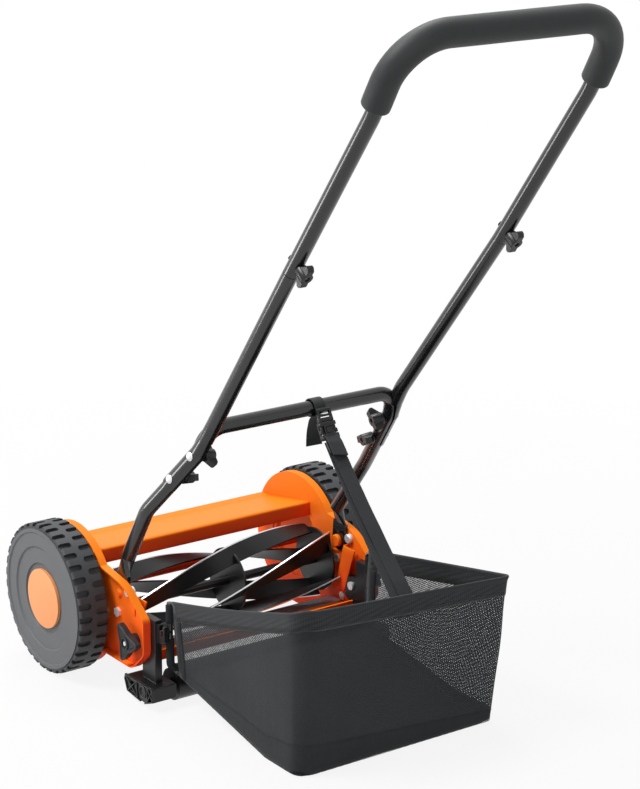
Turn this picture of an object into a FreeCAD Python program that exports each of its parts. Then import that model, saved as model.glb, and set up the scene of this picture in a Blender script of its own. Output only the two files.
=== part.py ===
"""Push reel mower with a rear roller, a folding handle and a fabric grass catcher.

Frame: millimetres, +X to the operator's right, +Y the way it travels, +Z up. The wheels and the roller
stand on Z = 0 and the origin is the centre of the bounding box's base.
Every size is a named cell of the sheet "Dimensions". The helpers take expressions in those names and count
Y from the wheel axle: "back" is a distance behind the axle and "up" a height above the ground.
"""
import FreeCAD, Part
import math
import os
import re
import Sketcher

# name: millimetres, degrees or a count
DIMENSIONS = {
    # wheels and axle
    "wheel_radius": 105.0,
    "wheel_width": 44.6,
    "wheel_gap": 3.4,
    "tread_depth": 10.0,
    "shoulder_round": 3.0,
    "lug_count": 36.0,
    "groove_depth": 4.5,
    "groove_width": 8.6,
    "groove_length": 19.0,
    "face_edge_radius": 98.0,
    "face_lip": 1.6,
    "face_setback": 1.6,
    "face_step_radius": 73.4,
    "face_step": 2.0,
    "face_wall": 3.0,
    "recess_radius": 50.0,
    "cap_seat_depth": 6.0,
    "hub_pocket_radius": 34.0,
    "hub_pocket_depth": 13.0,
    "rib_start": 18.0,
    "rib_thickness": 3.0,
    "rib_count": 6.0,
    "cap_radius": 41.5,
    "cap_wall": 2.0,
    "cap_dome": 3.6,
    "cap_proud": 1.5,
    "hub_radius": 15.0,
    "hub_gap": 0.3,
    "bush_wall": 3.0,
    "axle_radius": 5.0,
    "axle_end_depth": 4.0,
    "axle_tube_wall": 1.5,
    "nut_flats": 17.0,
    "nut_height": 6.0,
    "running_clearance": 0.05,
    "fit_clearance": 0.02,
    # ring gear of each wheel and the reel's pinions
    "gear_module": 2.0,
    "ring_teeth": 88.0,
    "pinion_teeth": 12.0,
    "gear_inset": 1.6,
    "gear_width": 11.0,
    "ring_tip_cut": 0.7,
    "gear_dedendum": 1.25,
    "gear_backlash": 0.3,
    "pressure_angle": 20.0,
    "ratchet_depth": 6.0,
    "ratchet_radius": 8.0,
    "ratchet_notch": 1.6,
    "ratchet_teeth": 6.0,
    "ratchet_gap": 1.0,
    "pawl_thickness": 2.9,
    "pawl_gap": 0.3,
    "reel_drop": 4.0,
    # side plates
    "web_half": 182.0,
    "plate_sheet": 2.0,
    "flange_depth": 9.4,
    "plate_radius": 99.5,
    "dish_radius": 52.0,
    "dish_depth": 4.0,
    "arm_back": 187.0,
    "arm_crest": 121.0,
    "arm_shoulder_back": 138.0,
    "arm_shoulder": 157.0,
    "arm_root_back": 62.0,
    "arm_root": 169.0,
    "arm_heel": 72.0,
    "arm_foot_back": 156.0,
    "arm_foot": 44.0,
    "arm_foot_front": 60.0,
    "arm_shoulder_round": 60.0,
    "arm_crest_round": 10.0,
    "arm_heel_round": 18.0,
    "arm_foot_round": 26.0,
    "vent_back": 152.0,
    "vent_up": 116.0,
    "vent_length": 9.0,
    "vent_width": 2.6,
    # front crossbar, a folded sheet
    "bar_rear_back": 36.0,
    "bar_rear_top": 173.0,
    "bar_rear_lip": 22.0,
    "bar_fold_ahead": 61.0,
    "bar_fold_top": 154.0,
    "bar_nose_ahead": 84.0,
    "bar_nose_lip": 19.0,
    "bar_sheet": 2.0,
    "bar_rear_drop": 2.4,
    # reel
    "reel_radius": 56.0,
    "reel_length": 336.0,
    "reel_phase": 103.0,
    "reel_twist": 108.0,
    "blade_count": 5.0,
    "blade_root_radius": 39.0,
    "blade_lag": 27.0,
    "blade_thickness": 2.4,
    "blade_notch_gap": 0.5,
    "disc_radius": 46.0,
    "disc_thickness": 3.0,
    "disc_inset": 3.0,
    "middle_disc_offset": 12.0,
    "shaft_radius": 6.4,
    "shaft_end_radius": 5.0,
    "bearing_radius": 11.0,
    "bearing_flange_radius": 16.0,
    "bearing_flange": 3.0,
    "bearing_length": 10.0,
    # cutter bar and bed knife
    "knife_angle": 20.0,
    "knife_gap": 0.4,
    "knife_thickness": 3.0,
    "knife_depth": 24.0,
    "knife_screw_pitch": 75.0,
    "knife_screw_radius": 2.5,
    "knife_screw_count": 5.0,
    "knife_screw_head": 2.5,
    "cutter_sheet": 3.0,
    "cutter_back": 160.0,
    "cutter_top": 62.0,
    "cutter_lip": 14.0,
    "cutter_side_gap": 1.5,
    "ear_sheet": 3.0,
    "ear_front": 97.0,
    "ear_back": 133.0,
    "ear_neck": 121.0,
    "ear_top": 119.0,
    "ear_shoulder": 70.0,
    "ear_bolt_back": 109.0,
    "ear_bolt_up": 109.0,
    "ear_foot_bolt_back": 123.0,
    "ear_foot_bolt_up": 56.0,
    # bolts
    "bolt_radius": 3.0,
    "bolt_head_radius": 6.0,
    "bolt_head_height": 3.0,
    "bolt_nut_height": 4.0,
    # lower handle
    "tube_radius": 10.0,
    "tube_wall": 1.5,
    "stud_back": 113.0,
    "stud_up": 137.0,
    "stud_radius": 4.0,
    "stud_head_radius": 9.0,
    "stud_head": 5.0,
    "stud_bevel": 1.5,
    "stud_rivet": 2.0,
    "stop_rise": 10.0,
    "stop_radius": 7.0,
    "stop_gap": 0.3,
    "stop_bevel": 1.0,
    "pad_lean": 5.0,
    "pad_thickness": 5.0,
    "pad_width": 28.0,
    "pad_length": 28.0,
    "pad_gap": 0.5,
    "leg_foot_half": 171.5,
    "leg_foot_back": 117.0,
    "leg_foot_up": 188.0,
    "leg_bend_half": 177.0,
    "leg_bend_back": 175.0,
    "leg_bend_up": 270.0,
    "leg_bend_round": 60.0,
    "leg_top_half": 152.0,
    "leg_top_back": 264.0,
    "leg_top_up": 368.0,
    "leg_top_round": 50.0,
    "lower_bar_half": 146.0,
    "lower_bar_back": 276.0,
    "lower_bar_up": 402.0,
    "lower_bar_round": 28.0,
    # side tubes and top handle
    "joint_inset": 7.0,
    "joint_pitch": 52.0,
    "cup_tail": 13.0,
    "cup_wall": 1.6,
    "cup_gap": 0.15,
    "cup_taper": 26.0,
    "tube_bend_half": 148.5,
    "tube_bend_back": 293.0,
    "tube_bend_up": 411.0,
    "tube_bend_round": 120.0,
    "seam_half": 158.0,
    "seam_back": 478.0,
    "seam_up": 647.0,
    "seam_gap": 0.5,
    "spigot_length": 60.0,
    "knee_half": 158.0,
    "knee_back": 634.0,
    "knee_up": 855.0,
    "knee_round": 150.0,
    "grip_half": 156.0,
    "grip_back": 688.0,
    "grip_up": 948.0,
    "grip_bend": 64.0,
    "grip_radius": 17.5,
    "grip_start": 13.0,
    "seam_bolt_rise": 18.0,
    # wing knobs
    "knob_hub_radius": 8.0,
    "knob_collar": 6.0,
    "knob_height": 17.0,
    "knob_span": 34.0,
    "knob_wing": 9.0,
    "leg_knob_turn": 35.0,
    "leg_knob_step": 60.0,
    "seam_knob_turn": 90.0,
    "knob_gap": 0.3,
    "thread_length": 14.0,
    # roller and its brackets
    "roller_back": 185.0,
    "roller_radius": 22.0,
    "roller_half": 150.0,
    "rod_radius": 4.0,
    "rod_half": 188.0,
    "roller_side_gap": 0.4,
    "boss_radius": 9.0,
    "boss_ring": 2.5,
    "bracket_inner_half": 158.0,
    "bracket_outer_half": 194.0,
    "bracket_low": 6.0,
    "bracket_block_top": 34.0,
    "bracket_block_front": 139.0,
    "bracket_block_back": 211.0,
    "slab_thickness": 11.0,
    "slab_gap": 0.3,
    "slab_front": 164.0,
    "slab_lobe_front": 139.0,
    "slab_lobe_low": 62.0,
    "slab_lobe_high": 92.0,
    "slab_back": 197.0,
    "slab_top": 123.0,
    "slab_lobe_rise": 6.0,
    "slab_lobe_fall": 10.0,
    "block_overlap": 4.0,
    "block_bevel": 6.0,
    "block_drop": 8.0,
    "pocket_width": 9.0,
    "pocket_height": 14.0,
    "pocket_depth": 5.0,
    "pocket_rise": 7.0,
    "pocket_gap": 14.0,
    "pocket_rear_gap": 11.0,
    "rib_height": 2.0,
    "height_bolt_back": 154.0,
    "height_bolt_up": 82.0,
    "height_travel_up": 8.0,
    "height_travel_down": 12.0,
    "height_knob_reach": 27.0,
    "height_knob_start": 195.0,
    "height_knob_thickness": 9.0,
    "height_knob_round": 4.0,
    "height_knob_turn": 70.0,
    # grass catcher
    "wire_radius": 4.0,
    "wire_half": 163.0,
    "wire_back": 205.0,
    "wire_low": 54.0,
    "wire_high": 148.0,
    "wire_bend": 10.0,
    "hook_up": 108.0,
    "hook_arm_width": 7.0,
    "hook_wall": 4.0,
    "hook_depth": 16.0,
    "hook_lip": 10.0,
    "bag_half": 161.0,
    "bag_foot_half": 153.0,
    "bag_wall": 3.0,
    "bag_mouth": 15.0,
    "bag_brim": 30.0,
    "bag_front_low": 43.0,
    "bag_front_high": 151.0,
    "bag_rear_low": 2.0,
    "bag_rear_high": 214.0,
    "bag_foot_back": 488.0,
    "bag_rim_back": 506.0,
    # strap
    "strap_offset": 30.0,
    "strap_width": 26.0,
    "strap_thickness": 3.0,
    "strap_gap": 0.3,
    "strap_foot_drop": 8.0,
    "strap_foot_gap": 1.5,
    "buckle_width": 36.0,
    "buckle_thickness": 9.0,
    "plug_narrowing": 8.0,
    "plug_thinning": 2.0,
    "buckle_start": 17.0,
    "plug_length": 20.0,
    "socket_length": 26.0,
    "slider_length": 20.0,
    "slider_thickness": 4.0,
    "slider_gap": 6.0,
}
# the wheel axle lies this far ahead of the origin, so that the bounding box is centred on it
AXLE_AHEAD = "(grip_back + grip_radius - wheel_radius) / 2"
REEL_OFFSET = "gear_module * (ring_teeth - pinion_teeth) / 2"
REEL_BACK = f"sqrt(({REEL_OFFSET})^2 - reel_drop^2)"
REEL_UP = "(wheel_radius - reel_drop)"
RING_ROOT = "gear_module * (ring_teeth / 2 + gear_dedendum)"
TREAD_BORE = "(wheel_radius - tread_depth)"
WHEEL_INNER = "(web_half + plate_sheet + flange_depth + wheel_gap)"
WHEEL_OUTER = f"({WHEEL_INNER} + wheel_width)"
GEAR_START = f"({WHEEL_INNER} + gear_inset)"
KNIFE_REACH = "(reel_radius + knife_gap)"
KNIFE_BACK = f"({REEL_BACK} + {KNIFE_REACH} * sin(knife_angle))"
KNIFE_UP = f"({REEL_UP} - {KNIFE_REACH} * cos(knife_angle))"
SEAT_UP = f"({KNIFE_UP} - knife_thickness)"
BORE = "(axle_radius + running_clearance)"
STOP_REACH = "(pad_width / 2 + stop_radius + stop_gap)"
STOP_BACK = f"(stud_back + stop_rise * sin(pad_lean) + {STOP_REACH} * cos(pad_lean))"
STOP_UP = f"(stud_up + stop_rise * cos(pad_lean) - {STOP_REACH} * sin(pad_lean))"
WEB_OUTER = "(web_half + plate_sheet)"
SLAB_OUTER = "(web_half - slab_gap)"
SLAB_INNER = f"({SLAB_OUTER} - slab_thickness)"

Vector = FreeCAD.Vector
X_AXIS = Vector(1, 0, 0)
ALONG_X = FreeCAD.Rotation(Vector(0, 1, 0), 90)
OVAL_SIDES = 32
BLADE_STEPS = 12
RING_FLANK_STEPS = 2
PINION_FLANK_STEPS = 5
RAMP_STEPS = 5
doc = FreeCAD.newDocument("ReelMower")
sheet = doc.addObject("Spreadsheet::Sheet", "Dimensions")
for row, (alias, amount) in enumerate(DIMENSIONS.items(), start=1):
    sheet.set(f"A{row}", alias)
    sheet.set(f"B{row}", str(amount))
    sheet.setAlias(f"B{row}", alias)
doc.recompute()
ALIASES = re.compile(r"\b(" + "|".join(sorted(DIMENSIONS, key=len, reverse=True)) + r")\b")
nodes = []


# ---------------------------------------------------------------- helpers
def size(expression):
    """Value of an expression in the sheet's names."""
    return float(sheet.evalExpression(str(expression)))


def bind(thing, prop, expression):
    """Tie one property of a thing to the sheet."""
    thing.setExpression(prop, ALIASES.sub(r"Dimensions.\1", str(expression)))


def keep(thing):
    """Mark a thing as one node of the finished mower."""
    nodes.append(thing)
    return thing


def place(thing, x="0", back="0", up="0", rotation=None):
    """Put a thing at x, behind the wheel axle and above the ground."""
    if rotation is not None:
        thing.Placement.Rotation = rotation
    bind(thing, ".Placement.Base.x", x)
    bind(thing, ".Placement.Base.y", f"{AXLE_AHEAD} - ({back})")
    bind(thing, ".Placement.Base.z", up)
    return thing


def rod(label, radius, length, x, back="0", up="wheel_radius"):
    """Round bar along X that starts at x."""
    bar = doc.addObject("Part::Cylinder", label)
    bind(bar, "Radius", radius)
    bind(bar, "Height", length)
    return place(bar, x, back, up, ALONG_X)


def box(label, width, depth, height, x, back, up):
    """Block from x on, reaching forward from back and up from up."""
    block = doc.addObject("Part::Box", label)
    bind(block, "Length", width)
    bind(block, "Width", depth)
    bind(block, "Height", height)
    return place(block, x, back, up)


def hexagon(label, flats, length, x, back="0", up="wheel_radius"):
    """Six-sided bar along X."""
    prism = doc.addObject("Part::Prism", label)
    prism.Polygon = 6
    bind(prism, "Circumradius", f"{flats} / 2 / cos(30)")
    bind(prism, "Height", length)
    return place(prism, x, back, up, ALONG_X)


def fuse(label, *things):
    """Several things joined into one solid."""
    result = doc.addObject("Part::MultiFuse", label)
    result.Shapes = list(things)
    result.Refine = True
    return result


def cut(label, base, *tools):
    """Base with every tool taken out of it."""
    result = doc.addObject("Part::Cut", label)
    result.Base = base
    result.Tool = tools[0] if len(tools) == 1 else group(label + "_tools", *tools)
    return result


def group(label, *things):
    """Several separate solids kept together."""
    result = doc.addObject("Part::Compound", label)
    result.Links = list(things)
    return result


def mirrored(label, source):
    """Left-hand copy of a right-hand thing."""
    twin = doc.addObject("Part::Mirroring", label)
    twin.Source = source
    twin.Normal = X_AXIS
    return twin


def free_shape(label, shape):
    """Thing whose shape is worked out from the sheet's values, with Y counted from the wheel axle."""
    feature = doc.addObject("Part::Feature", label)
    feature.Shape = shape
    ahead = FreeCAD.Placement(Vector(0, size(AXLE_AHEAD), 0), FreeCAD.Rotation())
    feature.Placement = ahead.multiply(shape.Placement)
    return feature


def outline(body, label, plane, corners):
    """Closed sketch of straight edges whose corners are pairs of expressions."""
    sketch = body.newObject("Sketcher::SketchObject", label)
    support = [item for item in body.Origin.OriginFeatures if item.Role == plane][0]
    sketch.AttachmentSupport = (support, [""])
    sketch.MapMode = "FlatFace"
    points = [Vector(size(across), size(along), 0) for across, along in corners]
    for i, point in enumerate(points):
        sketch.addGeometry(Part.LineSegment(point, points[(i + 1) % len(points)]), False)
    for i, (across, along) in enumerate(corners):
        sketch.addConstraint(Sketcher.Constraint("Coincident", i, 2, (i + 1) % len(points), 1))
        for kind, start, expression in (("DistanceX", points[i].x, across),
                                        ("DistanceY", points[i].y, along)):
            index = sketch.addConstraint(Sketcher.Constraint(kind, -1, 1, i, 1, start))
            bind(sketch, f"Constraints[{index}]", expression)
    return sketch


def turned(label, corners, x="0", back="0", up="wheel_radius"):
    """Body turned about the X direction from (x, radius) corners."""
    body = doc.addObject("PartDesign::Body", label)
    sketch = outline(body, label + "_profile", "XY_Plane", corners)
    revolution = body.newObject("PartDesign::Revolution", label + "_turn")
    revolution.Profile = sketch
    revolution.ReferenceAxis = (sketch, ["H_Axis"])
    revolution.Angle = 360
    return place(body, x, back, up)


def pressed(label, corners, length, x):
    """Body padded along X from (ahead of the axle, up) corners, starting at x."""
    body = doc.addObject("PartDesign::Body", label)
    sketch = outline(body, label + "_profile", "YZ_Plane", corners)
    pad = body.newObject("PartDesign::Pad", label + "_pad")
    pad.Profile = sketch
    bind(pad, "Length", length)
    return place(body, x)


def rounded(body, rounding, radius, chosen):
    """Fillet on the edges of a body's last feature that the test accepts."""
    doc.recompute()
    base = body.Tip
    names = [f"Edge{i}" for i, edge in enumerate(base.Shape.Edges, start=1) if chosen(edge)]
    fillet = body.newObject("PartDesign::Fillet", rounding)
    fillet.Base = (base, names)
    bind(fillet, "Radius", radius)
    body.Tip = fillet
    return body


def point(half, back, up, side=1):
    """Point from three expressions."""
    return Vector(side * size(half), -size(back), size(up))


def prism_x(corners, x, length):
    """Prism along X of a polygon of (ahead, up) numbers."""
    wire = Part.makePolygon([Vector(x, y, z) for y, z in corners + corners[:1]])
    return Part.Face(wire).extrude(X_AXIS * length)


def bent_path(points, radii):
    """Wire of straight runs joined by tangent arcs of the given radii."""
    edges = []
    start = points[0]
    for i, radius in enumerate(radii, start=1):
        corner = points[i]
        before = (points[i - 1] - corner).normalize()
        after = (points[i + 1] - corner).normalize()
        half = before.getAngle(after) / 2
        reach = radius / math.tan(half)
        middle = corner + (before + after).normalize() * (radius / math.sin(half) - radius)
        edges.append(Part.LineSegment(start, corner + before * reach).toShape())
        edges.append(Part.Arc(corner + before * reach, middle, corner + after * reach).toShape())
        start = corner + after * reach
    edges.append(Part.LineSegment(start, points[-1]).toShape())
    return Part.Wire(edges)


def piped(path, radius):
    """Round solid swept along a path."""
    first = path.Edges[0]
    start = first.valueAt(first.FirstParameter)
    ring = Part.Wire(Part.Circle(start, first.tangentAt(first.FirstParameter), radius).toShape())
    return path.makePipeShell([ring], True, False)


def oval_wire(centre, long_half, short_half):
    """Closed many-sided oval; lofts between such ovals run from corner to corner and don't twist."""
    points = []
    for k in range(OVAL_SIDES):
        turn = 2 * math.pi * k / OVAL_SIDES
        points.append(centre + long_half * math.cos(turn) + short_half * math.sin(turn))
    return Part.makePolygon(points + points[:1])


def bar_between(start, end, radius):
    """Round bar from one point to another."""
    return Part.makeCylinder(radius, (end - start).Length, start, end - start)


def other_side(shape):
    """Left-hand copy of a shape."""
    return shape.mirror(Vector(0, 0, 0), X_AXIS)


def largest(shape):
    """The biggest solid of a shape, with what was cut loose left out."""
    return max(shape.Solids, key=lambda solid: solid.Volume)


# ---------------------------------------------------------------- wheels
def gear_points(teeth, module, tip, root, extra, steps):
    """Outline points of a spur gear about the X axis, one tooth centred straight ahead.

    The flanks are involutes of the pressure angle, and extra thickens each tooth on the pitch circle.
    """
    pressure = math.radians(size("pressure_angle"))
    pitch = module * teeth / 2
    base = pitch * math.cos(pressure)
    half = (math.pi * module / 2 + extra) / 2 / pitch
    start = max(root, base)

    def involute(radius):
        angle = math.acos(min(1.0, base / radius))
        return math.tan(angle) - angle

    flank = []
    if root < base:
        flank.append((root, half + involute(pitch)))
    for k in range(steps + 1):
        radius = start + (tip - start) * k / steps
        flank.append((radius, half + involute(pitch) - involute(radius)))
    corners = []
    for tooth in range(teeth):
        centre = 2 * math.pi * tooth / teeth
        corners += [(radius, centre - angle) for radius, angle in flank]
        corners += [(radius, centre + angle) for radius, angle in reversed(flank)]
    return corners


def gear_prism(corners, turn, centre, length):
    """Prism along X of polar corners, turned by an angle about its centre."""
    points = [centre + Vector(0, radius * math.cos(angle + turn), radius * math.sin(angle + turn))
              for radius, angle in corners]
    return Part.Face(Part.makePolygon(points + points[:1])).extrude(X_AXIS * length)


def mesh_angle():
    """Direction from the wheel axle to the reel shaft, where a pinion tooth fills a ring space."""
    return math.atan2(-size("reel_drop"), -size(REEL_BACK))


def ring_gear():
    """Toothed ring moulded inside the wheel's rim."""
    module = size("gear_module")
    teeth = round(size("ring_teeth"))
    pitch = module * teeth / 2
    width = size("gear_width")
    centre = Vector(size(GEAR_START), 0, size("wheel_radius"))
    corners = gear_points(teeth, module, size(RING_ROOT), pitch - module + size("ring_tip_cut"),
                          size("gear_backlash"), RING_FLANK_STEPS)
    hollow = gear_prism(corners, mesh_angle(), centre, width)
    blank = Part.makeCylinder(size(RING_ROOT) + 1, width, centre, X_AXIS)
    return free_shape("ring_gear", blank.cut(hollow))


def wheel_ribs():
    """Ribs that stiffen the wheel's face from the hub to the rim."""
    inner = size(WHEEL_INNER)
    wall = size("face_wall") / 2
    corners = [(size("rib_start"), size("hub_radius - 1")), (size("rib_start"), size(RING_ROOT) + 1),
               (size("wheel_width - face_setback") - wall, size(RING_ROOT) + 1),
               (size("wheel_width - face_setback") - wall, size("face_step_radius + 1")),
               (size("wheel_width - face_setback - face_step") - wall, size("face_step_radius - 1")),
               (size("wheel_width - face_setback - face_step") - wall, size("recess_radius + 1")),
               (size("wheel_width - cap_seat_depth") - wall, size("recess_radius")),
               (size("wheel_width - cap_seat_depth") - wall, size("hub_pocket_radius + 1")),
               (size("wheel_width - hub_pocket_depth") - wall, size("hub_pocket_radius - 1")),
               (size("wheel_width - hub_pocket_depth") - wall, size("hub_radius - 1"))]
    half = size("rib_thickness") / 2
    points = [Vector(inner + x, -half, radius) for x, radius in corners]
    rib = Part.Face(Part.makePolygon(points + points[:1])).extrude(Vector(0, 2 * half, 0))
    ribs = []
    for k in range(round(size("rib_count"))):
        copy = rib.copy()
        copy.rotate(Vector(0, 0, 0), X_AXIS, 360 * k / round(size("rib_count")))
        copy.translate(Vector(0, 0, size("wheel_radius")))
        ribs.append(copy)
    return free_shape("wheel_ribs", Part.makeCompound(ribs))


def tread_grooves():
    """Two rows of round-ended grooves across the tread, each open to its own side of the tyre."""
    width, depth = size("groove_width"), size("groove_depth")
    bottom = size("wheel_radius") - depth
    inner, outer = size(WHEEL_INNER), size(WHEEL_OUTER)
    length = size("groove_length")
    count = round(size("lug_count"))
    rows = [(outer - length + width / 2, outer + 1, 0.0), (inner + length - width / 2, inner - 1, 0.5)]
    grooves = []
    for closed, opened, offset in rows:
        for k in range(count):
            slot = Part.makeBox(abs(opened - closed), width, depth + 2,
                                Vector(min(closed, opened), -width / 2, bottom))
            end = Part.makeCylinder(width / 2, depth + 2, Vector(closed, 0, bottom))
            groove = slot.fuse(end).removeSplitter()
            groove.rotate(Vector(0, 0, 0), X_AXIS, 360 * (k + offset) / count)
            groove.translate(Vector(0, 0, size("wheel_radius")))
            grooves.append(groove)
    return free_shape("tread_grooves", Part.makeCompound(grooves))


def wheel_parts():
    """Right-hand wheel: tyre, disc with its ring gear, hubcap and hub bush."""
    lip = "(wheel_width - face_lip)"
    ring = turned("tyre_ring", [("0", TREAD_BORE), ("0", "wheel_radius"), (lip, "wheel_radius"),
                                (lip, TREAD_BORE)], WHEEL_INNER)
    tread = size("wheel_radius")
    rounded(ring, "tyre_shoulders", "shoulder_round",
            lambda edge: edge.Curve.TypeId == "Part::GeomCircle" and abs(edge.Curve.Radius - tread) < 0.01)
    tyre = cut("right_tyre", ring, tread_grooves())

    front = "(wheel_width - face_setback)"
    middle = "(wheel_width - face_setback - face_step)"
    seat = "(wheel_width - cap_seat_depth)"
    pocket = "(wheel_width - hub_pocket_depth)"
    hub_end = "-(wheel_gap + flange_depth - dish_depth - hub_gap)"
    bore = "(axle_radius + bush_wall + fit_clearance)"
    blank = turned("wheel_blank", [
        ("0", RING_ROOT), ("0", f"{TREAD_BORE} - fit_clearance"), (lip, f"{TREAD_BORE} - fit_clearance"),
        (lip, "face_edge_radius"), ("wheel_width", "face_edge_radius"),
        ("wheel_width", "face_edge_radius - face_wall - face_lip"),
        (front, "face_edge_radius - face_wall - face_lip - face_setback"),
        (front, "face_step_radius"), (middle, "face_step_radius - face_step"),
        (middle, "recess_radius"), (seat, "recess_radius - face_setback"),
        (seat, "hub_pocket_radius"), (pocket, "hub_pocket_radius"), (pocket, bore), (hub_end, bore),
        (hub_end, "hub_radius"), (f"{pocket} - face_wall", "hub_radius"),
        (f"{pocket} - face_wall", "hub_pocket_radius + face_wall"),
        (f"{seat} - face_wall", "hub_pocket_radius + face_wall"),
        (f"{seat} - face_wall", "recess_radius + face_setback"),
        (f"{middle} - face_wall", "recess_radius + face_wall"),
        (f"{middle} - face_wall", "face_step_radius + face_step"),
        (f"{front} - face_wall", "face_step_radius + face_wall"), (f"{front} - face_wall", RING_ROOT),
    ], WHEEL_INNER)
    disc = fuse("right_wheel_disc", blank, ring_gear(), wheel_ribs())

    sphere_radius = "((cap_radius^2 + cap_dome^2) / (2 * cap_dome))"
    seat_x = f"({WHEEL_OUTER} - cap_seat_depth)"
    shells = []
    for name, radius, shift in (("outer", "cap_radius", "0"),
                                ("inner", "(cap_radius - cap_wall)", "cap_wall")):
        ball = doc.addObject("Part::Sphere", f"cap_{name}_dome")
        bind(ball, "Radius", sphere_radius)
        place(ball, f"{WHEEL_OUTER} + cap_proud - {sphere_radius} - {shift}", "0", "wheel_radius")
        common = doc.addObject("Part::Common", f"cap_{name}")
        common.Base = rod(f"cap_{name}_side", radius, "cap_seat_depth + cap_proud + 1", seat_x)
        common.Tool = ball
        shells.append(common)
    hubcap = cut("right_hubcap", *shells)

    length = f"wheel_width - hub_pocket_depth - ({hub_end})"
    start = f"{WHEEL_INNER} + ({hub_end})"
    bush = cut("right_wheel_bush", rod("bush_outside", "axle_radius + bush_wall", length, start),
               rod("bush_bore", BORE, length, start))
    for source, name in ((tyre, "tyre"), (disc, "wheel_disc"), (hubcap, "hubcap"), (bush, "wheel_bush")):
        keep(source)
        keep(mirrored("left_" + name, source))


# ---------------------------------------------------------------- side plates and what joins them
def plate_blank(x, length, inset):
    """Solid of the side plate's outline, drawn in all round by an inset."""
    arm = [(-size(back), size(up)) for back, up in (
        ("arm_root_back", "arm_root"), ("arm_shoulder_back", "arm_shoulder"), ("arm_back", "arm_crest"),
        ("arm_back", "arm_heel"), ("arm_foot_back", "arm_foot"), ("arm_foot_front", "arm_foot"))]
    rounds = ("arm_shoulder_round", "arm_crest_round", "arm_heel_round", "arm_foot_round")
    wing = prism_x(arm, x, length)
    for (y, z), radius in zip(arm[1:5], rounds):
        edges = [edge for edge in wing.Edges if abs(edge.Length - length) < 0.001
                 and abs(edge.CenterOfMass.y - y) < 0.01 and abs(edge.CenterOfMass.z - z) < 0.01]
        wing = wing.makeFillet(size(radius), edges)
    if inset:
        section = [face for face in wing.Faces if abs(face.CenterOfMass.x - x) < 0.001][0]
        wing = section.makeOffset2D(-inset).extrude(X_AXIS * length)
    disc = Part.makeCylinder(size("plate_radius") - inset, length, Vector(x, 0, size("wheel_radius")), X_AXIS)
    return disc.fuse(wing).removeSplitter()


def slot_x(x, length, back, low, high, radius):
    """Upright round-ended slot cut along X."""
    ends = [Part.makeCylinder(radius, length, Vector(x, -back, up), X_AXIS) for up in (low, high)]
    middle = Part.makeBox(length, 2 * radius, high - low, Vector(x, -back - radius, low))
    return ends[0].fuse([ends[1], middle])


def side_plate():
    """Dished plate: a round guard behind the wheel with an arm to the rear and its rim turned outwards."""
    inner, thickness = size("web_half"), size("plate_sheet")
    depth = thickness + size("flange_depth")
    plate = plate_blank(inner, depth, 0).cut(plate_blank(inner + thickness, depth, thickness))
    dish, rise = size("dish_radius"), size("dish_depth")
    centre = Vector(inner, 0, size("wheel_radius"))
    boss = Part.makeCone(dish, dish - rise, rise, centre + X_AXIS * thickness, X_AXIS)
    hollow = Part.makeCone(dish - thickness, dish - thickness - rise, rise, centre, X_AXIS)
    plate = plate.fuse(boss).cut(hollow)
    start, reach = inner - 1, depth + 2
    holes = [Part.makeCylinder(size(radius), reach, Vector(start, -size(back), size(up)), X_AXIS)
             for radius, back, up in (
                 (BORE, "0", "wheel_radius"), ("bearing_radius + fit_clearance", REEL_BACK, REEL_UP),
                 ("stud_radius + fit_clearance", "stud_back", "stud_up"),
                 ("bolt_radius + fit_clearance", STOP_BACK, STOP_UP),
                 ("bolt_radius + fit_clearance", "ear_bolt_back", "ear_bolt_up"),
                 ("bolt_radius + fit_clearance", "ear_foot_bolt_back", "ear_foot_bolt_up"))]
    holes.append(slot_x(start, reach, size("height_bolt_back"), size("height_bolt_up - height_travel_down"),
                        size("height_bolt_up + height_travel_up"), size("bolt_radius + knob_gap")))
    holes.append(slot_x(start, reach, size("vent_back"), size("vent_up"), size("vent_up + vent_length"),
                        size("vent_width / 2")))
    return plate.cut(holes)


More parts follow.
